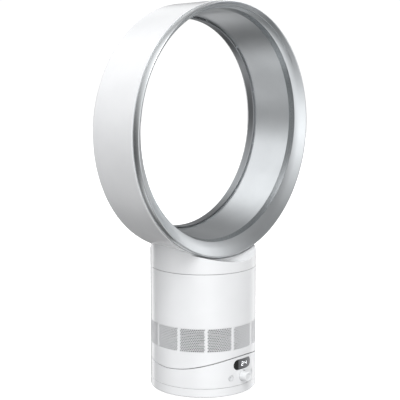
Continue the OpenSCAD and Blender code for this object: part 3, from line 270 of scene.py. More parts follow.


# Each finish: colour, roughness and what differs from the plain look. The window is black over
# the receiver at its left end, then a grey that lightens towards the right end: partly the panel
# behind the glass and partly a painted reflection.
finishes = {
    "gloss_white": ((0.85, 0.855, 0.865), 0.14, {"coat": 0.3, "coatRough": 0.03, "skin": 0.02}),
    "panel_white": ((0.71, 0.715, 0.725), 0.3, {"skin": 0.05, "coat": 0.3}),
    "silver_satin": ((0.59, 0.61, 0.625), 0.3, {"metallic": 0.85, "skin": 0.012, "skinScale": 2600,
                                              "toneChange": 0.05, "coat": 0.4, "coatRough": 0.12}),
    # Outer band: a lighter silver that is a painted sheen
    "band_satin_and_sheen": ((0.66, 0.68, 0.69), 0.2, {"metallic": 0.85, "skin": 0.012, "skinScale": 2600}),
    # Guide band: a darker silver that is painted shade
    "guide_satin_and_shade": ((0.34, 0.355, 0.365), 0.28, {"metallic": 0.9, "skin": 0.03, "skinScale": 2600}),
    # Rear lip: silver painted dark, the painted shade of the air slot
    "lip_satin_and_shade": ((0.27, 0.28, 0.29), 0.3, {"metallic": 0.9, "skin": 0.03, "skinScale": 2600}),
    "button_white": ((0.7, 0.71, 0.72), 0.28, {"skin": 0.05, "coat": 0.5}),
    "knob_white": ((0.83, 0.84, 0.85), 0.2, {"coat": 0.8}),
    # The window's tones: smoked black at the left, then grey with a painted reflection lightening it to the
    # right
    "tinted_window": ((1, 1, 1.05), 0.06, {"coat": 0.5, "coatRough": 0.02, "skin": 0, "smokeAndReflectionReach": 17,
                                           "smokeAndReflection": ((0, 0.002), (0.2, 0.003), (0.28, 0.11), (1, 0.22))}),
    "lit_digits": ((0.95, 0.97, 1), 0.5, {"glow": 0.9, "skin": 0.01}),
    "rubber_black": ((0.03, 0.03, 0.032), 0.75, {"skin": 0.4, "toneChange": 0.2}),
    "inner_white": ((0.62, 0.63, 0.64), 0.45, {"skin": 0.15}),
    "inner_grey": ((0.16, 0.16, 0.17), 0.55, {"skin": 0.2, "toneChange": 0.1}),
    "slide_black": ((0.02, 0.02, 0.022), 0.4, {"skin": 0.1, "toneChange": 0.15}),
    "foam": ((0.09, 0.09, 0.095), 0.95, {"skin": 1, "skinScale": 700, "skinDepth": 0.0012,
                                         "toneChange": 0.3}),
    "board": ((0.02, 0.12, 0.05), 0.4, {"toneChange": 0.25, "driftScale": 160, "skin": 0.1, "coat": 0.4}),
    "steel": ((0.55, 0.56, 0.58), 0.3, {"metallic": 1, "skin": 0.1, "skinScale": 2200,
                                        "toneChange": 0.08}),
    "core_steel": ((0.32, 0.33, 0.35), 0.42, {"metallic": 1, "skin": 0.15, "toneChange": 0.1}),
    "copper": ((0.72, 0.33, 0.16), 0.3, {"metallic": 1, "skin": 0.5, "skinScale": 1600,
                                         "toneChange": 0.1}),
    "floor": ((0.93, 0.93, 0.93), 0.6, {"driftScale": 2, "toneChange": 0.005, "glow": 0.5}),
}
materials = {slot: mouldedFinish(slot + "_look", *finishes[slot]) for slot in finishes}
slotOf = {row["node"]: row["material_slot"] for row in frame["record"]["subparts"]
          if "node" in row and "material_slot" in row}
print("finishes:", len(materials), "slots read:", len(slotOf))


# Radii are from the blowing axis, and depths from the upright one with the front negative. The
# guards are how far beside a round the next flat begins. Angles are in degrees.
loop = {"holeZ": 363, "rimZ": 357.5, "jointY": -35.5, "rearY": 42.5, "frontR": 172, "rearR": 167.6,
        "rearRound": 5, "lipR": 142, "lipRound": 5, "lipWall": 2, "lipLen": 9.5, "wall": 2.2,
        "edge": 0.35, "slope": 0.06, "slopeTurn": 3.4, "lean": 2, "guard": 1, "lipGuard": 0.6,
        "tipGuard": 0.8}


# Points on a circle's arc about (r, y), in degrees, all with the same centre height.
def arcRow(r, y, radius, start, end, centreZ, steps):
    a = np.radians(np.linspace(start, end, steps + 1))
    return [(r + radius * math.cos(t), y + radius * math.sin(t), centreZ) for t in a]


# Points of (radius, depth), all with the same centre height.
def flatRow(centreZ, *spots):
    return [(r, y, centreZ) for r, y in spots]


# The loop's shell: a tapered outside, a rounded rear edge, the rolled rear lip, and inside it
# the same turns a wall's thickness in. The outside and the hole have centres 5.5 mm apart.
def loopShell():
    p, guard, lean = loop, loop["guard"], loop["lean"]
    rz, hz, edge = p["rimZ"], p["holeZ"], p["edge"]
    frontY, edgeC, innerR = p["jointY"], p["frontR"] - edge, p["frontR"] - p["wall"]
    rearC, rearY = p["rearR"] - p["rearRound"], p["rearY"] - p["rearRound"]
    lipC, lipY = p["lipR"] + p["lipRound"], p["rearY"] - p["lipRound"]
    slip, under = p["slope"] * guard, p["lipRound"] - p["lipWall"]
    tip = p["lipWall"] / 2
    tipY = lipY - p["lipLen"] + tip
    lipEnds = (lipY - p["lipGuard"], tipY + p["tipGuard"])
    outline = flatRow(rz, (innerR, frontY), (edgeC, frontY))
    outline += arcRow(edgeC, frontY + edge, edge, -90, 0, rz, 4)
    outline += flatRow(rz, (p["frontR"] - slip, frontY + guard), (p["rearR"] + slip, rearY - guard))
    outline += arcRow(rearC, rearY, p["rearRound"], p["slopeTurn"], 90, rz, 10)
    outline += flatRow(rz, (rearC - guard / 2, p["rearY"])) + flatRow(hz, (lipC + guard / 2, p["rearY"]))
    outline += arcRow(lipC, lipY, p["lipRound"], 90, 180 - lean, hz, 14)
    outline += flatRow(hz, *[(p["lipR"], y) for y in lipEnds])
    outline += arcRow(p["lipR"] + tip, tipY, tip, 180 + lean, 360 - lean, hz, 8)
    outline += flatRow(hz, *[(p["lipR"] + p["lipWall"], y) for y in lipEnds[::-1]])
    outline += arcRow(lipC, lipY, under, 180 - lean, 90 + lean, hz, 10)
    outline += flatRow(hz, (lipC + guard, lipY + under)) + flatRow(rz, (rearC - 2 * guard, lipY + under))
    outline += arcRow(rearC, rearY, p["rearRound"] - p["wall"], 90 - lean, p["slopeTurn"], rz, 6)
    outline += flatRow(rz, (innerR, frontY + guard))
    return turnedAboutBlowing(np.array(outline))


# The rounds are pairs of how far in and how far up or down, in widths of the edge. The bite is
# how far the wall runs into the loop's, and the tail is a short end buried inside it.
neck = {"r": 73, "innerR": 70.5, "innerTop": 178, "lowZ": 170, "edge": 0.3, "shelfR": 173.8,
        "rearGap": 0.9, "shelfBack": 14, "bite": 0.6, "frontIn": 0.4, "rearIn": 5, "bury": 1.2, "tail": 3,
        "count": 360, "rows": 9, "leanIn": 0.01, "lowRound": ((2, 0), (1, 0), (0.3, 0.3), (0, 1), (0, 2)),
        "shelfRound": ((0, 1), (0.35, 0.35), (1, 0), (2.2, 0))}


# Radius about the blowing axis that the neck reaches up to at each depth: the front shelf, the
# loop's own outside, and the slope up to the rear shelf.
def neckReach(y):
    p, q = loop, neck
    length = p["rearY"] - p["rearRound"] - p["jointY"]
    side = p["frontR"] + (p["rearR"] - p["frontR"]) * (y - p["jointY"]) / length - q["bite"]
    rearR = p["rearR"] + q["rearGap"]
    back = rearR + (q["shelfR"] - rearR) * np.clip((y - p["rearY"]) / q["shelfBack"], 0, 1)
    return np.where(y < p["jointY"], q["shelfR"], np.where(y < p["rearY"], side, back))


# Height at which a line beside the axis, x away from it, meets the underside of a circle.
def underLoop(radius, x):
    return loop["rimZ"] - np.sqrt(radius ** 2 - x ** 2)


# The neck: a drum's wall from the seam up to where the loop or a shelf cuts it, and each shelf
# as lines that run from the drum's rim straight to the loop's face.
def neckWall():
    q, p, e = neck, loop, neck["edge"]
    phi = np.linspace(0, 2 * np.pi, q["count"], endpoint=False)
    x, y = q["r"] * np.sin(phi), -q["r"] * np.cos(phi)
    reach = neckReach(y)
    top = underLoop(reach, x) - 2 * e
    starts = [(q["innerR"], q["innerTop"]), (q["innerR"], q["lowZ"])]
    starts += [(q["r"] - inward * e, q["lowZ"] + up * e) for inward, up in q["lowRound"]]
    rows = [np.stack([r * np.sin(phi), -r * np.cos(phi), z + 0 * phi], -1) for r, z in starts]
    low = starts[-1][1]
    for share in np.arange(1, q["rows"] + 1) / q["rows"]:
        rows.append(np.stack([x, y, low + (top - low) * share], -1))
    shelf = (y < p["jointY"]) | (y > p["rearY"])
    goal = np.where(y < p["jointY"], p["jointY"] + q["frontIn"], p["rearY"] - q["rearIn"])
    for inward, down in q["shelfRound"]:
        yy = np.where(y < 0, np.minimum(y + inward * e, goal), np.maximum(y - inward * e, goal))
        yy = np.where(shelf, yy, y * (1 - q["leanIn"] * inward))
        r2 = np.where(shelf, neckReach(yy), reach - e * inward)
        rows.append(np.stack([x, yy, underLoop(r2, x) - np.where(shelf, down * e, 0)], -1))
    for share in (0.5, 1):
        yy = np.where(shelf, rows[-1][:, 1] * (1 - share) + goal * share, rows[-1][:, 1])
        r2 = np.where(shelf, np.where(y < 0, q["shelfR"], neckReach(yy)), reach - q["bury"])
        rows.append(np.stack([x, yy, underLoop(r2, x)], -1))
    rows.append(rows[-1] + np.array([0, 0, q["tail"]]))
    return np.concatenate(rows), gridQuads(len(rows), q["count"], True, True)


# The neck's skin is one with the loop's, so both are one piece with one finish.
loopPiece = faceOutward(makeMesh("loopShell", *joined([loopShell(), neckWall()]), "loop", "gloss_white"))
# The lip is silver from its tip to where it starts to roll outwards, painted dark as painted shade for the
# air slot's mouth
lipBackY = loop["rearY"] - loop["lipRound"]
paintBand(loopPiece, materials["lip_satin_and_shade"], (loop["lipR"] - 0.5, loop["lipR"] + 1.6),
          (lipBackY - loop["lipLen"] - 1, lipBackY + 0.5), loop["holeZ"])
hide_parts("loop_shell")
print("loop shell:", len(loopPiece.data.polygons), "faces")


# The bevel's marks are shares of the way from the hole's edge to the rim's.
ring = {"rimR": 171.2, "round": 1.4, "frontY": -47, "bevelR": 156.3, "faceR": 169.5, "wall": 2,
        "backY": -42.5, "edge": 0.3, "guard": 0.6, "marks": (0.06, 0.5, 0.94, 0.985), "crest": 0.12,
        "crestTurn": -86, "backIn": 9, "webIn": 2.4}


# The front ring: a round rim and a wide bevel that runs from the rim's centre to the hole's.
def frontRing():
    q, rz, hz, y0 = ring, loop["rimZ"], loop["holeZ"], loop["jointY"]
    hole, rim = np.array([q["bevelR"], y0, hz]), np.array([q["faceR"], q["frontY"], rz])
    roundY, wallR = q["frontY"] + q["round"], q["rimR"] - q["wall"]
    outline = flatRow(hz, (q["bevelR"] + q["edge"], y0), (q["bevelR"], y0 - q["edge"]))
    outline += [tuple(hole + (rim - hole) * t) for t in q["marks"]]
    outline += flatRow(rz, (q["faceR"] + q["crest"], q["frontY"]))
    outline += arcRow(q["rimR"] - q["round"], roundY, q["round"], q["crestTurn"], 0, rz, 8)
    outline += flatRow(rz, (q["rimR"], roundY + q["guard"]), (q["rimR"], y0 - q["guard"]),
                       (q["rimR"] - q["edge"], y0), (wallR, y0), (wallR, q["backY"]),
                       (q["bevelR"] + q["backIn"], q["backY"]))
    outline += flatRow(hz, (q["bevelR"] + q["webIn"], y0))
    return turnedAboutBlowing(np.array(outline))


ringPiece = faceOutward(makeMesh("frontRing", *frontRing(), "loop", "silver_satin"))
# The narrow band outside is glossier than the bevel, and its silver is painted lighter as a painted sheen
# along the ring's outer edge
paintBand(ringPiece, materials["band_satin_and_sheen"], (ring["rimR"] - 0.4, ring["rimR"] + 0.2),
          (ring["frontY"] - 0.2, loop["jointY"]), loop["rimZ"])
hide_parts("front_ring")


# The creases are how far in radius and in depth the points beside a corner lie from it.
casing = {"bevelR": 156.3, "guideR": 153.5, "guideY": -28, "throatR": 147.1, "throatY": 16,
          "slotR": 145.4, "tipY": 28, "curlR": 6, "curlY": 31, "sweep": 50, "lean": 2, "wall": 2.2,
          "taper": 0.2, "webOut": 169.6, "web": 2.2, "seat": 0.05, "bevelCrease": (0.12, 0.35),
          "guideCrease": ((0.14, 0.4), (0.05, 0.5)), "slotCrease": (0.4, 3)}


# The inner casing: a guide band, a long diffuser face and the curl behind the rear lip, with
# its back a wall's thickness away, and the web that carries the front ring.
def innerCasing():
    q, w, rz, hz = casing, casing["wall"], loop["rimZ"], loop["holeZ"]
    y0, webY = loop["jointY"], loop["jointY"] + q["web"]
    curl, turns = (q["slotR"] + q["curlR"], q["curlY"]), (180 - q["lean"], 180 - q["sweep"])
    (frontOut, frontOn), (rearOut, rearOn) = q["guideCrease"]
    outline = flatRow(hz, (q["bevelR"], y0 + q["seat"]),
                      (q["bevelR"] - q["bevelCrease"][0], y0 + q["bevelCrease"][1]),
                      (q["guideR"] + frontOut, q["guideY"] - frontOn), (q["guideR"], q["guideY"]),
                      (q["guideR"] - rearOut, q["guideY"] + rearOn), (q["throatR"], q["throatY"]),
                      (q["slotR"] + q["slotCrease"][0], q["tipY"] - q["slotCrease"][1]),
                      (q["slotR"], q["tipY"]))
    outline += arcRow(*curl, q["curlR"], *turns, hz, 6)
    outline += arcRow(*curl, q["curlR"] - w + q["taper"], *turns[::-1], hz, 6)
    outline += flatRow(hz, (q["throatR"] + w, q["throatY"]), (q["guideR"] + w, q["guideY"] + rearOn),
                       (q["bevelR"] + w, webY))
    outline += flatRow(rz, (q["webOut"], webY), (q["webOut"], y0 + q["seat"]))
    return turnedAboutBlowing(np.array(outline))


casingPiece = faceOutward(makeMesh("innerCasing", *innerCasing(), "loop", "silver_satin", sharpAngle=24))
# The guide band is painted darker than the diffuser face behind it: painted shade for the occlusion where it
# steps in under the bevel
paintBand(casingPiece, materials["guide_satin_and_shade"], (casing["guideR"] - 0.5, casing["bevelR"] + 0.1),
          (loop["jointY"], casing["guideY"]), loop["holeZ"])
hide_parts("inner_casing")
print("ring and casing made")


# headR and baseR are the radii of the curved seam for the body and for the skirt below it. The
# columns are those across one opening, and the shares place the rows below and above the band.
body = {"r": 73, "wall": 2.5, "top": 169.4, "bandLow": 63.3, "bandHigh": 95.7, "ribAngle": 1.9,
        "panels": 12, "tiltZ": 212.6, "headR": 174.65, "baseR": 175.5, "edge": 0.35, "columns": 15,
        "bandRows": 8, "lowShares": (0, 0.04, 0.5, 0.96, 1), "highShares": (0.02, 0.25, 0.5, 0.75, 0.98, 1)}


# Height of the curved seam under a point of the drum's wall: a circle about a level axis.
def tiltSeam(phi, radius):
    y = body["r"] * np.cos(np.radians(phi))
    return body["tiltZ"] - np.sqrt(radius ** 2 - y ** 2)


# The body's flat pattern: columns of angle and rows of height, the lowest row on the curved
# seam, with one opening between every two ribs.
def bodyPattern():
    q = body
    pitch = 360 / q["panels"]
    half = (pitch - q["ribAngle"]) / 2
    across = np.append(np.linspace(-half, half, q["columns"]), pitch / 2)
    cols = np.concatenate([i * pitch + across for i in range(q["panels"])])
    low = tiltSeam(cols, q["headR"])
    spans = ((low, q["bandLow"], q["lowShares"]),
             (q["bandLow"], q["bandHigh"], np.arange(1, q["bandRows"] + 1) / q["bandRows"]),
             (q["bandHigh"], q["top"], q["highShares"]))
    rows = [a + (b - a) * s + 0 * low for a, b, shares in spans for s in shares]
    flat, quads = angleGrid(cols, np.array(rows), True)
    middle = flat[quads]
    turn = np.radians(middle[:, :, 0])
    phi = np.degrees(np.arctan2(np.sin(turn).mean(1), np.cos(turn).mean(1)))
    z = middle[:, :, 1].mean(1)
    off = (phi + pitch / 2) % pitch - pitch / 2
    openCell = (np.abs(off) < half) & (z > q["bandLow"]) & (z < q["bandHigh"])
    return flat, quads[~openCell]


bodyPiece = makeMesh("bodyShell", *bentPlate(*bodyPattern(), body["r"], body["r"] - body["wall"]),
                     "head", "gloss_white")
softenEdges(bodyPiece, body["edge"])
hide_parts("body_shell")
print("body shell:", len(bodyPiece.data.polygons), "faces")


# The cell is the honeycomb's pitch, the hole its openings' radius to a tip, and the fit the gap
# to the body all round.
panel = {"cell": 2.59, "hole": 1.02, "rows": 14, "across": 13, "r": 72.86, "thick": 1.5, "fit": 0.08}


# A line of points, the same line moved onto a straight edge, and the quads between.
def edgeStrip(line, axis, value):
    line = np.array(line)
    away = line.copy()
    away[:, axis] = value
    return np.concatenate([line, away]), gridQuads(2, len(line))


# One inlet panel: cells of a honeycomb, each with a six-sided hole, and plain strips that fill
# from the outermost cells to the panel's straight edges. The flags mark the strips.
def inletPanel(centre):
    q, b = panel, body
    halfW = math.radians((360 / b["panels"] - b["ribAngle"]) / 2) * b["r"] - q["fit"]
    lowZ, highZ = b["bandLow"] + q["fit"], b["bandHigh"] - q["fit"]
    cell, corner = q["cell"], q["cell"] / math.sqrt(3)
    row = np.arange(q["rows"]) - (q["rows"] - 1) / 2
    col = np.arange(q["across"]) - (q["across"] - 1) / 2
    cz, cx = np.meshgrid(row * 1.5 * corner, col * cell, indexing="ij")
    # Every other row is shifted by half a cell
    cx = cx + np.where(np.arange(q["rows"]) % 2 == 0, -1, 1)[:, None] * cell / 4
    grid = np.stack([cx, (lowZ + highZ) / 2 + cz], -1)
    sixths = np.radians(np.arange(6) * 60 + 30)
    tips = corner * np.stack([np.cos(sixths), np.sin(sixths)], -1)
    six = np.concatenate([tips, tips * q["hole"] / corner])
    lots = [(c + six, gridQuads(2, 6, False, True)) for c in grid.reshape(-1, 2)]
    honeycomb = sum(len(quads) for _, quads in lots)
    for edge, way, lineUp in ((grid[:, 0], -1, -1), (grid[:, -1], 1, 1)):
        chain = [c + (way * cell / 2, s * corner / 2) for c in edge for s in (-1, 1)]
        lots.append(edgeStrip(chain[::lineUp], 0, way * halfW))
    for edge, way, lineUp, z in ((grid[-1], 1, -1, highZ), (grid[0], -1, 1, lowZ)):
        chain = [c + spot for c in edge for spot in ((-cell / 2, way * corner / 2), (0, way * corner))]
        chain.append(edge[-1] + (cell / 2, way * corner / 2))
        lots.append(edgeStrip(chain[::lineUp], 1, z))
    # The panel's four corners
    for edge, z, up in ((grid[0], lowZ, -1), (grid[-1], highZ, 1)):
        for c, way in ((edge[0], -1), (edge[-1], 1)):
            x0, (x1, z1) = way * halfW, c + (way * cell / 2, up * corner / 2)
            box = [(x0, z1), (x1, z1), (x1, z), (x0, z)]
            turn = (x1 - x0) * (z - z1)
            lots.append((np.array(box if turn > 0 else box[::-1]), np.array([[0, 1, 2, 3]])))
    flat, quads = joined(lots)
    flat = np.stack([centre + np.degrees(flat[:, 0] / b["r"]), flat[:, 1]], -1)
    return flat, quads, np.arange(len(quads)) >= honeycomb


panels = [inletPanel(i * 360 / body["panels"]) for i in range(body["panels"])]
panelPiece = makeMesh("inletPanels", *bentPlate(*joined([lot[:2] for lot in panels]), panel["r"],
                                                panel["r"] - panel["thick"]), "head", "panel_white")
# The strips round the honeycomb are as white as the body
strips = np.concatenate([lot[2] for lot in panels])
panelPiece.data.materials.append(materials["gloss_white"])
which = np.zeros(len(panelPiece.data.polygons), np.int32)
which[:len(strips)] = strips
panelPiece.data.polygons.foreach_set("material_index", which)
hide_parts("inlet_panels_set")
print("inlet panels:", len(panelPiece.data.polygons), "faces")


# The controls come before the skirt, whose holes fit them. Faces and roots are how far out from
# the upright axis, middles are the small radii at which a turned face closes, flange is how far
# out from the root it begins and ends, and the window's reach spreads points along its flats.
# In the skirt, front and knobField are angles to either side, and split and skirt are heights
# at which the fields of its front meet.
window = {"width": 35, "height": 14.6, "z": 41.8, "r": 72.85, "fit": 0.15, "thick": 1.6, "edge": 0.2,
          "count": 96, "reach": 1.2, "shares": (1, 0.97, 0.8, 0.5, 0.2, 0.02)}
button = {"r": 3.7, "face": 73.4, "root": 66.5, "round": 0.5, "dish": 0.8, "flangeR": 5, "angle": 17,
          "z": 25, "plug": 1, "flange": (1, 2.2), "guard": 0.4, "middle": 0.05,
          "shares": (0.84, 0.7, 0.5, 0.3, 0.12, 0.02)}
knob = {"r": 7.2, "nose": 6.6, "face": 82.5, "root": 70.8, "round": 1.2, "z": 24.8, "shaft": 3,
        "inner": 62.3, "edge": 0.3, "taper": 73, "lowGuard": (0.03, 0.6), "highGuard": (0.04, 0.5),
        "dish": ((0.74, 0), (0.7, 0.05), (0.64, 0.5), (0.6, 0.6), (0.3, 0.6)), "middle": (0.05, 0.1)}
base = {"lowZ": 13.2, "buttonFit": 0.3, "knobFit": 0.4, "front": 25, "knobField": 9, "split": 33.4,
        "skirt": 15, "lowEdge": 0.6, "edge": 0.3, "sides": 14, "windowSides": 16, "backColumns": 156,
        "shares": (0, 0.02, 0.1, 0.35, 0.65, 0.9, 0.98, 1)}


# A ring of quads between a hole's edge and the edge of a field round it. Each point of the
# field's edge is joined to the point of the hole in the same direction.
def holedField(left, right, low, topAt, hole, centre, columns, sides, rings=(0, 0.06, 0.4, 1)):
    phi = np.linspace(left, right, columns + 1)
    rise = np.linspace(0, 1, sides + 1)
    edge = [(a, low) for a in phi]
    edge += [(right, low + (topAt(right) - low) * s) for s in rise[1:]]
    edge += [(a, topAt(a)) for a in phi[::-1][1:]]
    edge += [(left, low + (topAt(left) - low) * s) for s in rise[::-1][1:-1]]
    edge = np.array(edge, float)
    away = np.stack([np.radians(edge[:, 0] - centre[0]) * body["r"], edge[:, 1] - centre[1]], -1)
    rim = hole(np.arctan2(away[:, 1], away[:, 0]))
    inner = np.stack([centre[0] + np.degrees(np.arcsin(rim[:, 0] / body["r"])), centre[1] + rim[:, 1]], -1)
    rows = [inner + (edge - inner) * s for s in rings]
    return np.concatenate(rows), gridQuads(len(rows), len(edge), False, True)[:, ::-1]


# Where a ray from the middle leaves a circle.
def roundHole(radius):
    def edge(a):
        return radius * np.stack([np.cos(a), np.sin(a)], -1)
    return edge


# Where a ray from the middle leaves a slot with round ends: its flat if that comes before the
# end's centre, and otherwise the end's circle.
def slotHole(width, height):
    r = height / 2
    reach = width / 2 - r

    def edge(a):
        c, s = np.cos(a), np.sin(a)
        flatT = r / np.maximum(np.abs(s), 1e-9)
        b = np.abs(c) * reach
        endT = b + np.sqrt(np.maximum(b * b - reach * reach + r * r, 0))
        t = np.where(np.abs(c) * flatT <= reach, flatT, endT)
        return t[:, None] * np.stack([c, s], -1)
    return edge


# Where the fields end above: on the curved seam, or on the level line under the window's field.
def skirtTop(phi):
    return float(tiltSeam(phi, body["baseR"]))


def splitTop(phi):
    return base["split"]


# The skirt's flat pattern: a field round the window, three fields below it round the buttons
# and the knob, a plain strip under these, and a plain grid for the sides and the back.
def basePattern():
    q, f, k = base, base["front"], base["knobField"]
    slot = slotHole(window["width"], window["height"])
    lots = [holedField(-f, f, q["split"], skirtTop, slot, (0, window["z"]), 2 * f, q["windowSides"]),
            holedField(-k, k, q["skirt"], splitTop, roundHole(knob["r"] + q["knobFit"]), (0, knob["z"]),
                       2 * k, q["sides"])]
    for left, right, side in ((-f, -k, -1), (k, f, 1)):
        lots.append(holedField(left, right, q["skirt"], splitTop, roundHole(button["r"] + q["buttonFit"]),
                               (side * button["angle"], button["z"]), f - k, q["sides"]))
    rows = np.array([q["lowZ"], q["lowZ"] + q["lowEdge"], q["skirt"]])
    lots.append(angleGrid(np.linspace(-f, f, 2 * f + 1), rows[:, None]))
    cols = np.linspace(f, 360 - f, q["backColumns"])
    rise = tiltSeam(cols, body["baseR"]) - q["lowZ"]
    lots.append(angleGrid(cols, q["lowZ"] + rise * np.array(q["shares"])[:, None]))
    return joined(lots)


# The seam is a level cylinder, so the skirt's inner skin ends lower than its outer one.
basePts, baseFaces = bentPlate(*basePattern(), body["r"], body["r"] - body["wall"])
baseInner = basePts[len(basePts) // 2:]
baseInner[:, 2] = np.minimum(baseInner[:, 2],
                             body["tiltZ"] - np.sqrt(body["baseR"] ** 2 - baseInner[:, 1] ** 2))
basePiece = faceOutward(makeMesh("controlShell", basePts, baseFaces, "base", "gloss_white"))
softenEdges(basePiece, base["edge"])
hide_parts("control_shell")


foot = {"r": 73, "innerR": 70.5, "middle": 0.2, "lowZ": 0.8, "floorZ": 3.8, "topZ": 12.6, "trackIn": 47.85,
        "trackOut": 55.25, "trackZ": 11, "round": 1.5, "edge": 0.35, "wallRound": 0.5,
        "trackLow": 0.4, "trackTop": 0.3}


# The foot: a flat floor, a rounded lower edge, a low wall, and the track that carries the base.
def footPlate():
    q = foot
    corners = [(q["middle"], q["lowZ"], 0), (q["r"], q["lowZ"], q["round"]), (q["r"], q["topZ"], q["edge"]),
               (q["innerR"], q["topZ"], q["edge"]), (q["innerR"], q["floorZ"], q["wallRound"]),
               (q["trackOut"], q["floorZ"], q["trackLow"]), (q["trackOut"], q["trackZ"], q["trackTop"]),
               (q["trackIn"], q["trackZ"], q["trackTop"]), (q["trackIn"], q["floorZ"], q["trackLow"]),
               (q["middle"], q["floorZ"], 0)]
    return turnedAboutUpright(softCorners(corners))


footPiece = faceOutward(makeMesh("footPlate", *footPlate(), "foot", "gloss_white"))
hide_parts("base_plate")
print("base and foot made")


# The window: a slot-shaped plate bent with the drum, in rings that shrink to a middle line.
def displayWindow():
    q = window
    w, h = q["width"] / 2 - q["fit"], q["height"] / 2 - q["fit"]
    t = np.linspace(0, 2 * np.pi, q["count"], endpoint=False)
    spine = np.clip(np.cos(t) * w * q["reach"], h - w, w - h)
    x, z = spine + h * np.cos(t), h * np.sin(t)
    spine = np.clip(x, h - w, w - h)
    flat = np.concatenate([np.stack([spine + (x - spine) * s, z * s], -1) for s in q["shares"]])
    flat = np.stack([np.degrees(np.arcsin(flat[:, 0] / body["r"])), q["z"] + flat[:, 1]], -1)
    n, last = q["count"], (len(q["shares"]) - 1) * q["count"]
    k = np.arange(n // 2)
    lid = last + np.stack([k, (k + 1) % n, (n - k - 1) % n, (n - k) % n], -1)
    return flat, np.concatenate([gridQuads(len(q["shares"]), n, False, True), lid])


windowPlate = bentPlate(*displayWindow(), window["r"], window["r"] - window["thick"])
windowPiece = faceOutward(makeMesh("displayGlass", *windowPlate, "base", "tinted_window"))
softenEdges(windowPiece, window["edge"])
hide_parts("display_window")


# A quarter of a circle that rounds a plug's side into its face.
def roundedNose(r, face, rounding, steps):
    a = np.radians(np.linspace(0, 90, steps + 1))
    return list(zip(r - rounding + rounding * np.cos(a), face - rounding + rounding * np.sin(a)))


# A button: a short plug with a flange, a rounded rim and a dish that deepens with the square of
# the way in, turned about its own line.
def pressButton(side):
    q = button
    plugR, (low, high) = q["r"] - q["plug"], q["flange"]
    outline = [(q["middle"], q["root"]), (plugR, q["root"]), (plugR, q["root"] + low),
               (q["flangeR"], q["root"] + low), (q["flangeR"], q["root"] + high),
               (q["r"], q["root"] + high), (q["r"], q["face"] - q["round"] - q["guard"])]
    outline += roundedNose(q["r"], q["face"], q["round"], 4)
    outline += [(q["r"] * s, q["face"] - q["dish"] * (1 - (s / q["shares"][0]) ** 2)) for s in q["shares"]]
    return turnedForward(np.array(outline), side * q["angle"], q["z"])


for side, name, node, key in ((-1, "powerButton", "power_button", "power_key"),
                              (1, "swingButton", "swing_button", "swing_key")):
    piece = faceOutward(makeMesh(name, *pressButton(side), key, "button_white"))
    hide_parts(node)


# The knob: a slightly tapered drum with a rounded nose and a dished face. The dish's points are
# shares of the nose's radius and depths under the face.
def speedKnob():
    q = knob
    low, high = q["lowGuard"], q["highGuard"]
    outline = [(q["middle"][0], q["inner"]), (q["shaft"], q["inner"]), (q["shaft"], q["root"]),
               (q["r"] - q["edge"], q["root"]), (q["r"], q["root"] + q["edge"]), (q["r"], q["taper"]),
               (q["r"] - low[0], q["taper"] + low[1]),
               (q["nose"] + high[0], q["face"] - q["round"] - high[1])]
    outline += roundedNose(q["nose"], q["face"], q["round"], 6)
    outline += [(q["nose"] * share, q["face"] - depth) for share, depth in q["dish"]]
    outline.append((q["middle"][1], q["face"] - q["dish"][-1][1]))
    return turnedForward(np.array(outline), 0, q["z"], 96)


knobPiece = faceOutward(makeMesh("speedKnob", *speedKnob(), "knob", "knob_white"))
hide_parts("speed_knob")


digits = {"shift": (-1.2, 5.6), "size": (3.9, 4.9), "stroke": 0.72, "gap": 0.12, "columns": 5, "r": 72.9,
          "thick": 0.15, "shown": ("ABGED", "FGBC")}


# The two figures: straight strokes of the seven-bar kind, each a thin tile bent with the window.
def displayDigits():
    q = digits
    w, h, s, g = q["size"][0] / 2, q["size"][1] / 2, q["stroke"] / 2, q["gap"]
    # Each bar's two ends across and its two ends up
    bars = {"A": (-w, w, h, h), "G": (-w, w, 0, 0), "D": (-w, w, -h, -h),
            "F": (-w, -w, 0, h), "B": (w, w, 0, h), "E": (-w, -w, -h, 0), "C": (w, w, -h, 0)}
    lots = []
    for x0, shown in zip(q["shift"], q["shown"]):
        for xa, xb, za, zb in (bars[bar] for bar in shown):
            left, right = (xa - s, xb + s) if xa == xb else (xa + g, xb - g)
            ends = (za - s, zb + s) if za == zb else (za + g, zb - g)
            cols = np.degrees((x0 + np.linspace(left, right, q["columns"])) / body["r"])
            lots.append(angleGrid(cols, window["z"] + np.array(ends)[:, None]))
    return joined(lots)


digitPlate = bentPlate(*displayDigits(), digits["r"], digits["r"] - digits["thick"])
makeMesh("displayDigits", *digitPlate, "base", "button_white", "lit_digits")
print("controls made")

# The pieces that keep their solids get the finish of their slot
for name, node in frame["nodes"].items():
    node.data.materials.clear()
    node.data.materials.append(materials[slotOf.get(name, "inner_white")])
print("inner pieces finished")


# Angles in degrees and lengths in millimetres; far is the camera's reach in metres.
studio = {"azimuth": -47.995, "elevation": 8.769, "distance": 1626.19, "side": -4.4, "height": 259.016,
          "lens": 106.652, "sensor": 36, "far": 50, "floor": 6000, "tint": (0.99, 0.995, 1, 1), "plain": 1.05}
az, el = math.radians(studio["azimuth"]), math.radians(studio["elevation"])
back = Vector((math.sin(az) * math.cos(el), -math.cos(az) * math.cos(el), math.sin(el)))
right = Vector((math.cos(az), math.sin(az), 0))
target = right * (studio["side"] * mm) + Vector((0, 0, studio["height"] * mm))
cam = bpy.data.cameras.new("studioCamera")
cam.lens = studio["lens"]
cam.sensor_width = studio["sensor"]
cam.clip_end = studio["far"]
camera = bpy.data.objects.new("studioCamera", cam)
bpy.context.scene.collection.objects.link(camera)
camera.location = target + back * studio["distance"] * mm
camera.rotation_euler = (-back).to_track_quat("-Z", "Y").to_euler()
bpy.context.scene.camera = camera

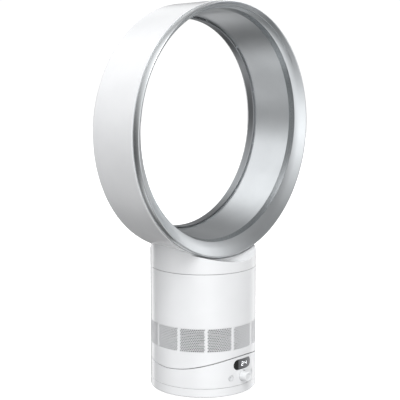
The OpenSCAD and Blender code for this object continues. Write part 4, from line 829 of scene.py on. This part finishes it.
half = studio["floor"] / 2 * mm
corners = [(x * half, y * half, 0) for x, y in ((-1, -1), (1, -1), (1, 1), (-1, 1))]
floorMesh = bpy.data.meshes.new("studioFloor")
floorMesh.from_pydata(corners, [], [(0, 1, 2, 3)])
floorMesh.materials.append(materials["floor"])
floorPiece = bpy.data.objects.new("studioFloor", floorMesh)
bpy.context.scene.collection.objects.link(floorPiece)
floorPiece.visible_glossy = False
floorPiece.visible_diffuse = False
floorPiece.visible_shadow = False


# Soft lights all round, far off: bearing from the camera's own, rise above the level, focus
# (a larger number is a smaller light) and strength.
lights = {
    "keyBox": (0, 54, 23, 7.6), "frontFill": (12, 2, 7, 2.05), "leftCard": (-65, 21, 16, 1.27),
    "leftTop": (-103, 52, 8, 1.7), "leftLow": (-65, -27, 20, 0.75), "leftGround": (-101, -47, 27, 1.2),
    "rightStrip": (91, 6, 9, 0.42), "rightGround": (54, -40, 18, 1.95), "backRight": (143, -16, 12, 1.15),
    "backRightTop": (137, 34, 19, 3.9), "backLeft": (-158, 14, 35, 2.5), "backLeftLow": (-146, -14, 40, 1.5),
    "backGround": (158, -44, 12, 1.1),
}
world = bpy.data.worlds.new("studioSweep")
bpy.context.scene.world = world
world.use_nodes = True
sky = world.node_tree
sky.nodes.clear()
around = addNode(sky, "TexCoord", {}).outputs["Generated"]


# One step of the sum of lights.
def skyMath(operation, *values):
    node = addNode(sky, "Math", dict(enumerate(values)))
    node.operation = operation
    return node.outputs[0]


# Each light adds strength * e^(focus * (cosine of the angle from its middle - 1)).
total = 0
cameraBearing = math.degrees(math.atan2(back.y, back.x))
for bearing, rise, focus, strength in lights.values():
    b, e = math.radians(cameraBearing + bearing), math.radians(rise)
    middle = (math.cos(b) * math.cos(e), math.sin(b) * math.cos(e), math.sin(e))
    toward = addNode(sky, "VectorMath", {0: around, 1: middle})
    toward.operation = "DOT_PRODUCT"
    fall = skyMath("EXPONENT", skyMath("MULTIPLY_ADD", toward.outputs["Value"], focus, -focus))
    total = skyMath("MULTIPLY_ADD", fall, strength, total)
# The camera sees plain white, and the pieces see the lights
sweep = addNode(sky, "Background", {"Color": studio["tint"], "Strength": total})
plain = addNode(sky, "Background", {"Color": (1, 1, 1, 1), "Strength": studio["plain"]})
seen = addNode(sky, "LightPath", {})
mix = addNode(sky, "MixShader", {0: seen.outputs["Is Camera Ray"], 1: sweep.outputs[0], 2: plain.outputs[0]})
addNode(sky, "OutputWorld", {"Surface": mix.outputs[0]})
bpy.context.scene.view_settings.view_transform = "Standard"
print("studio lit")
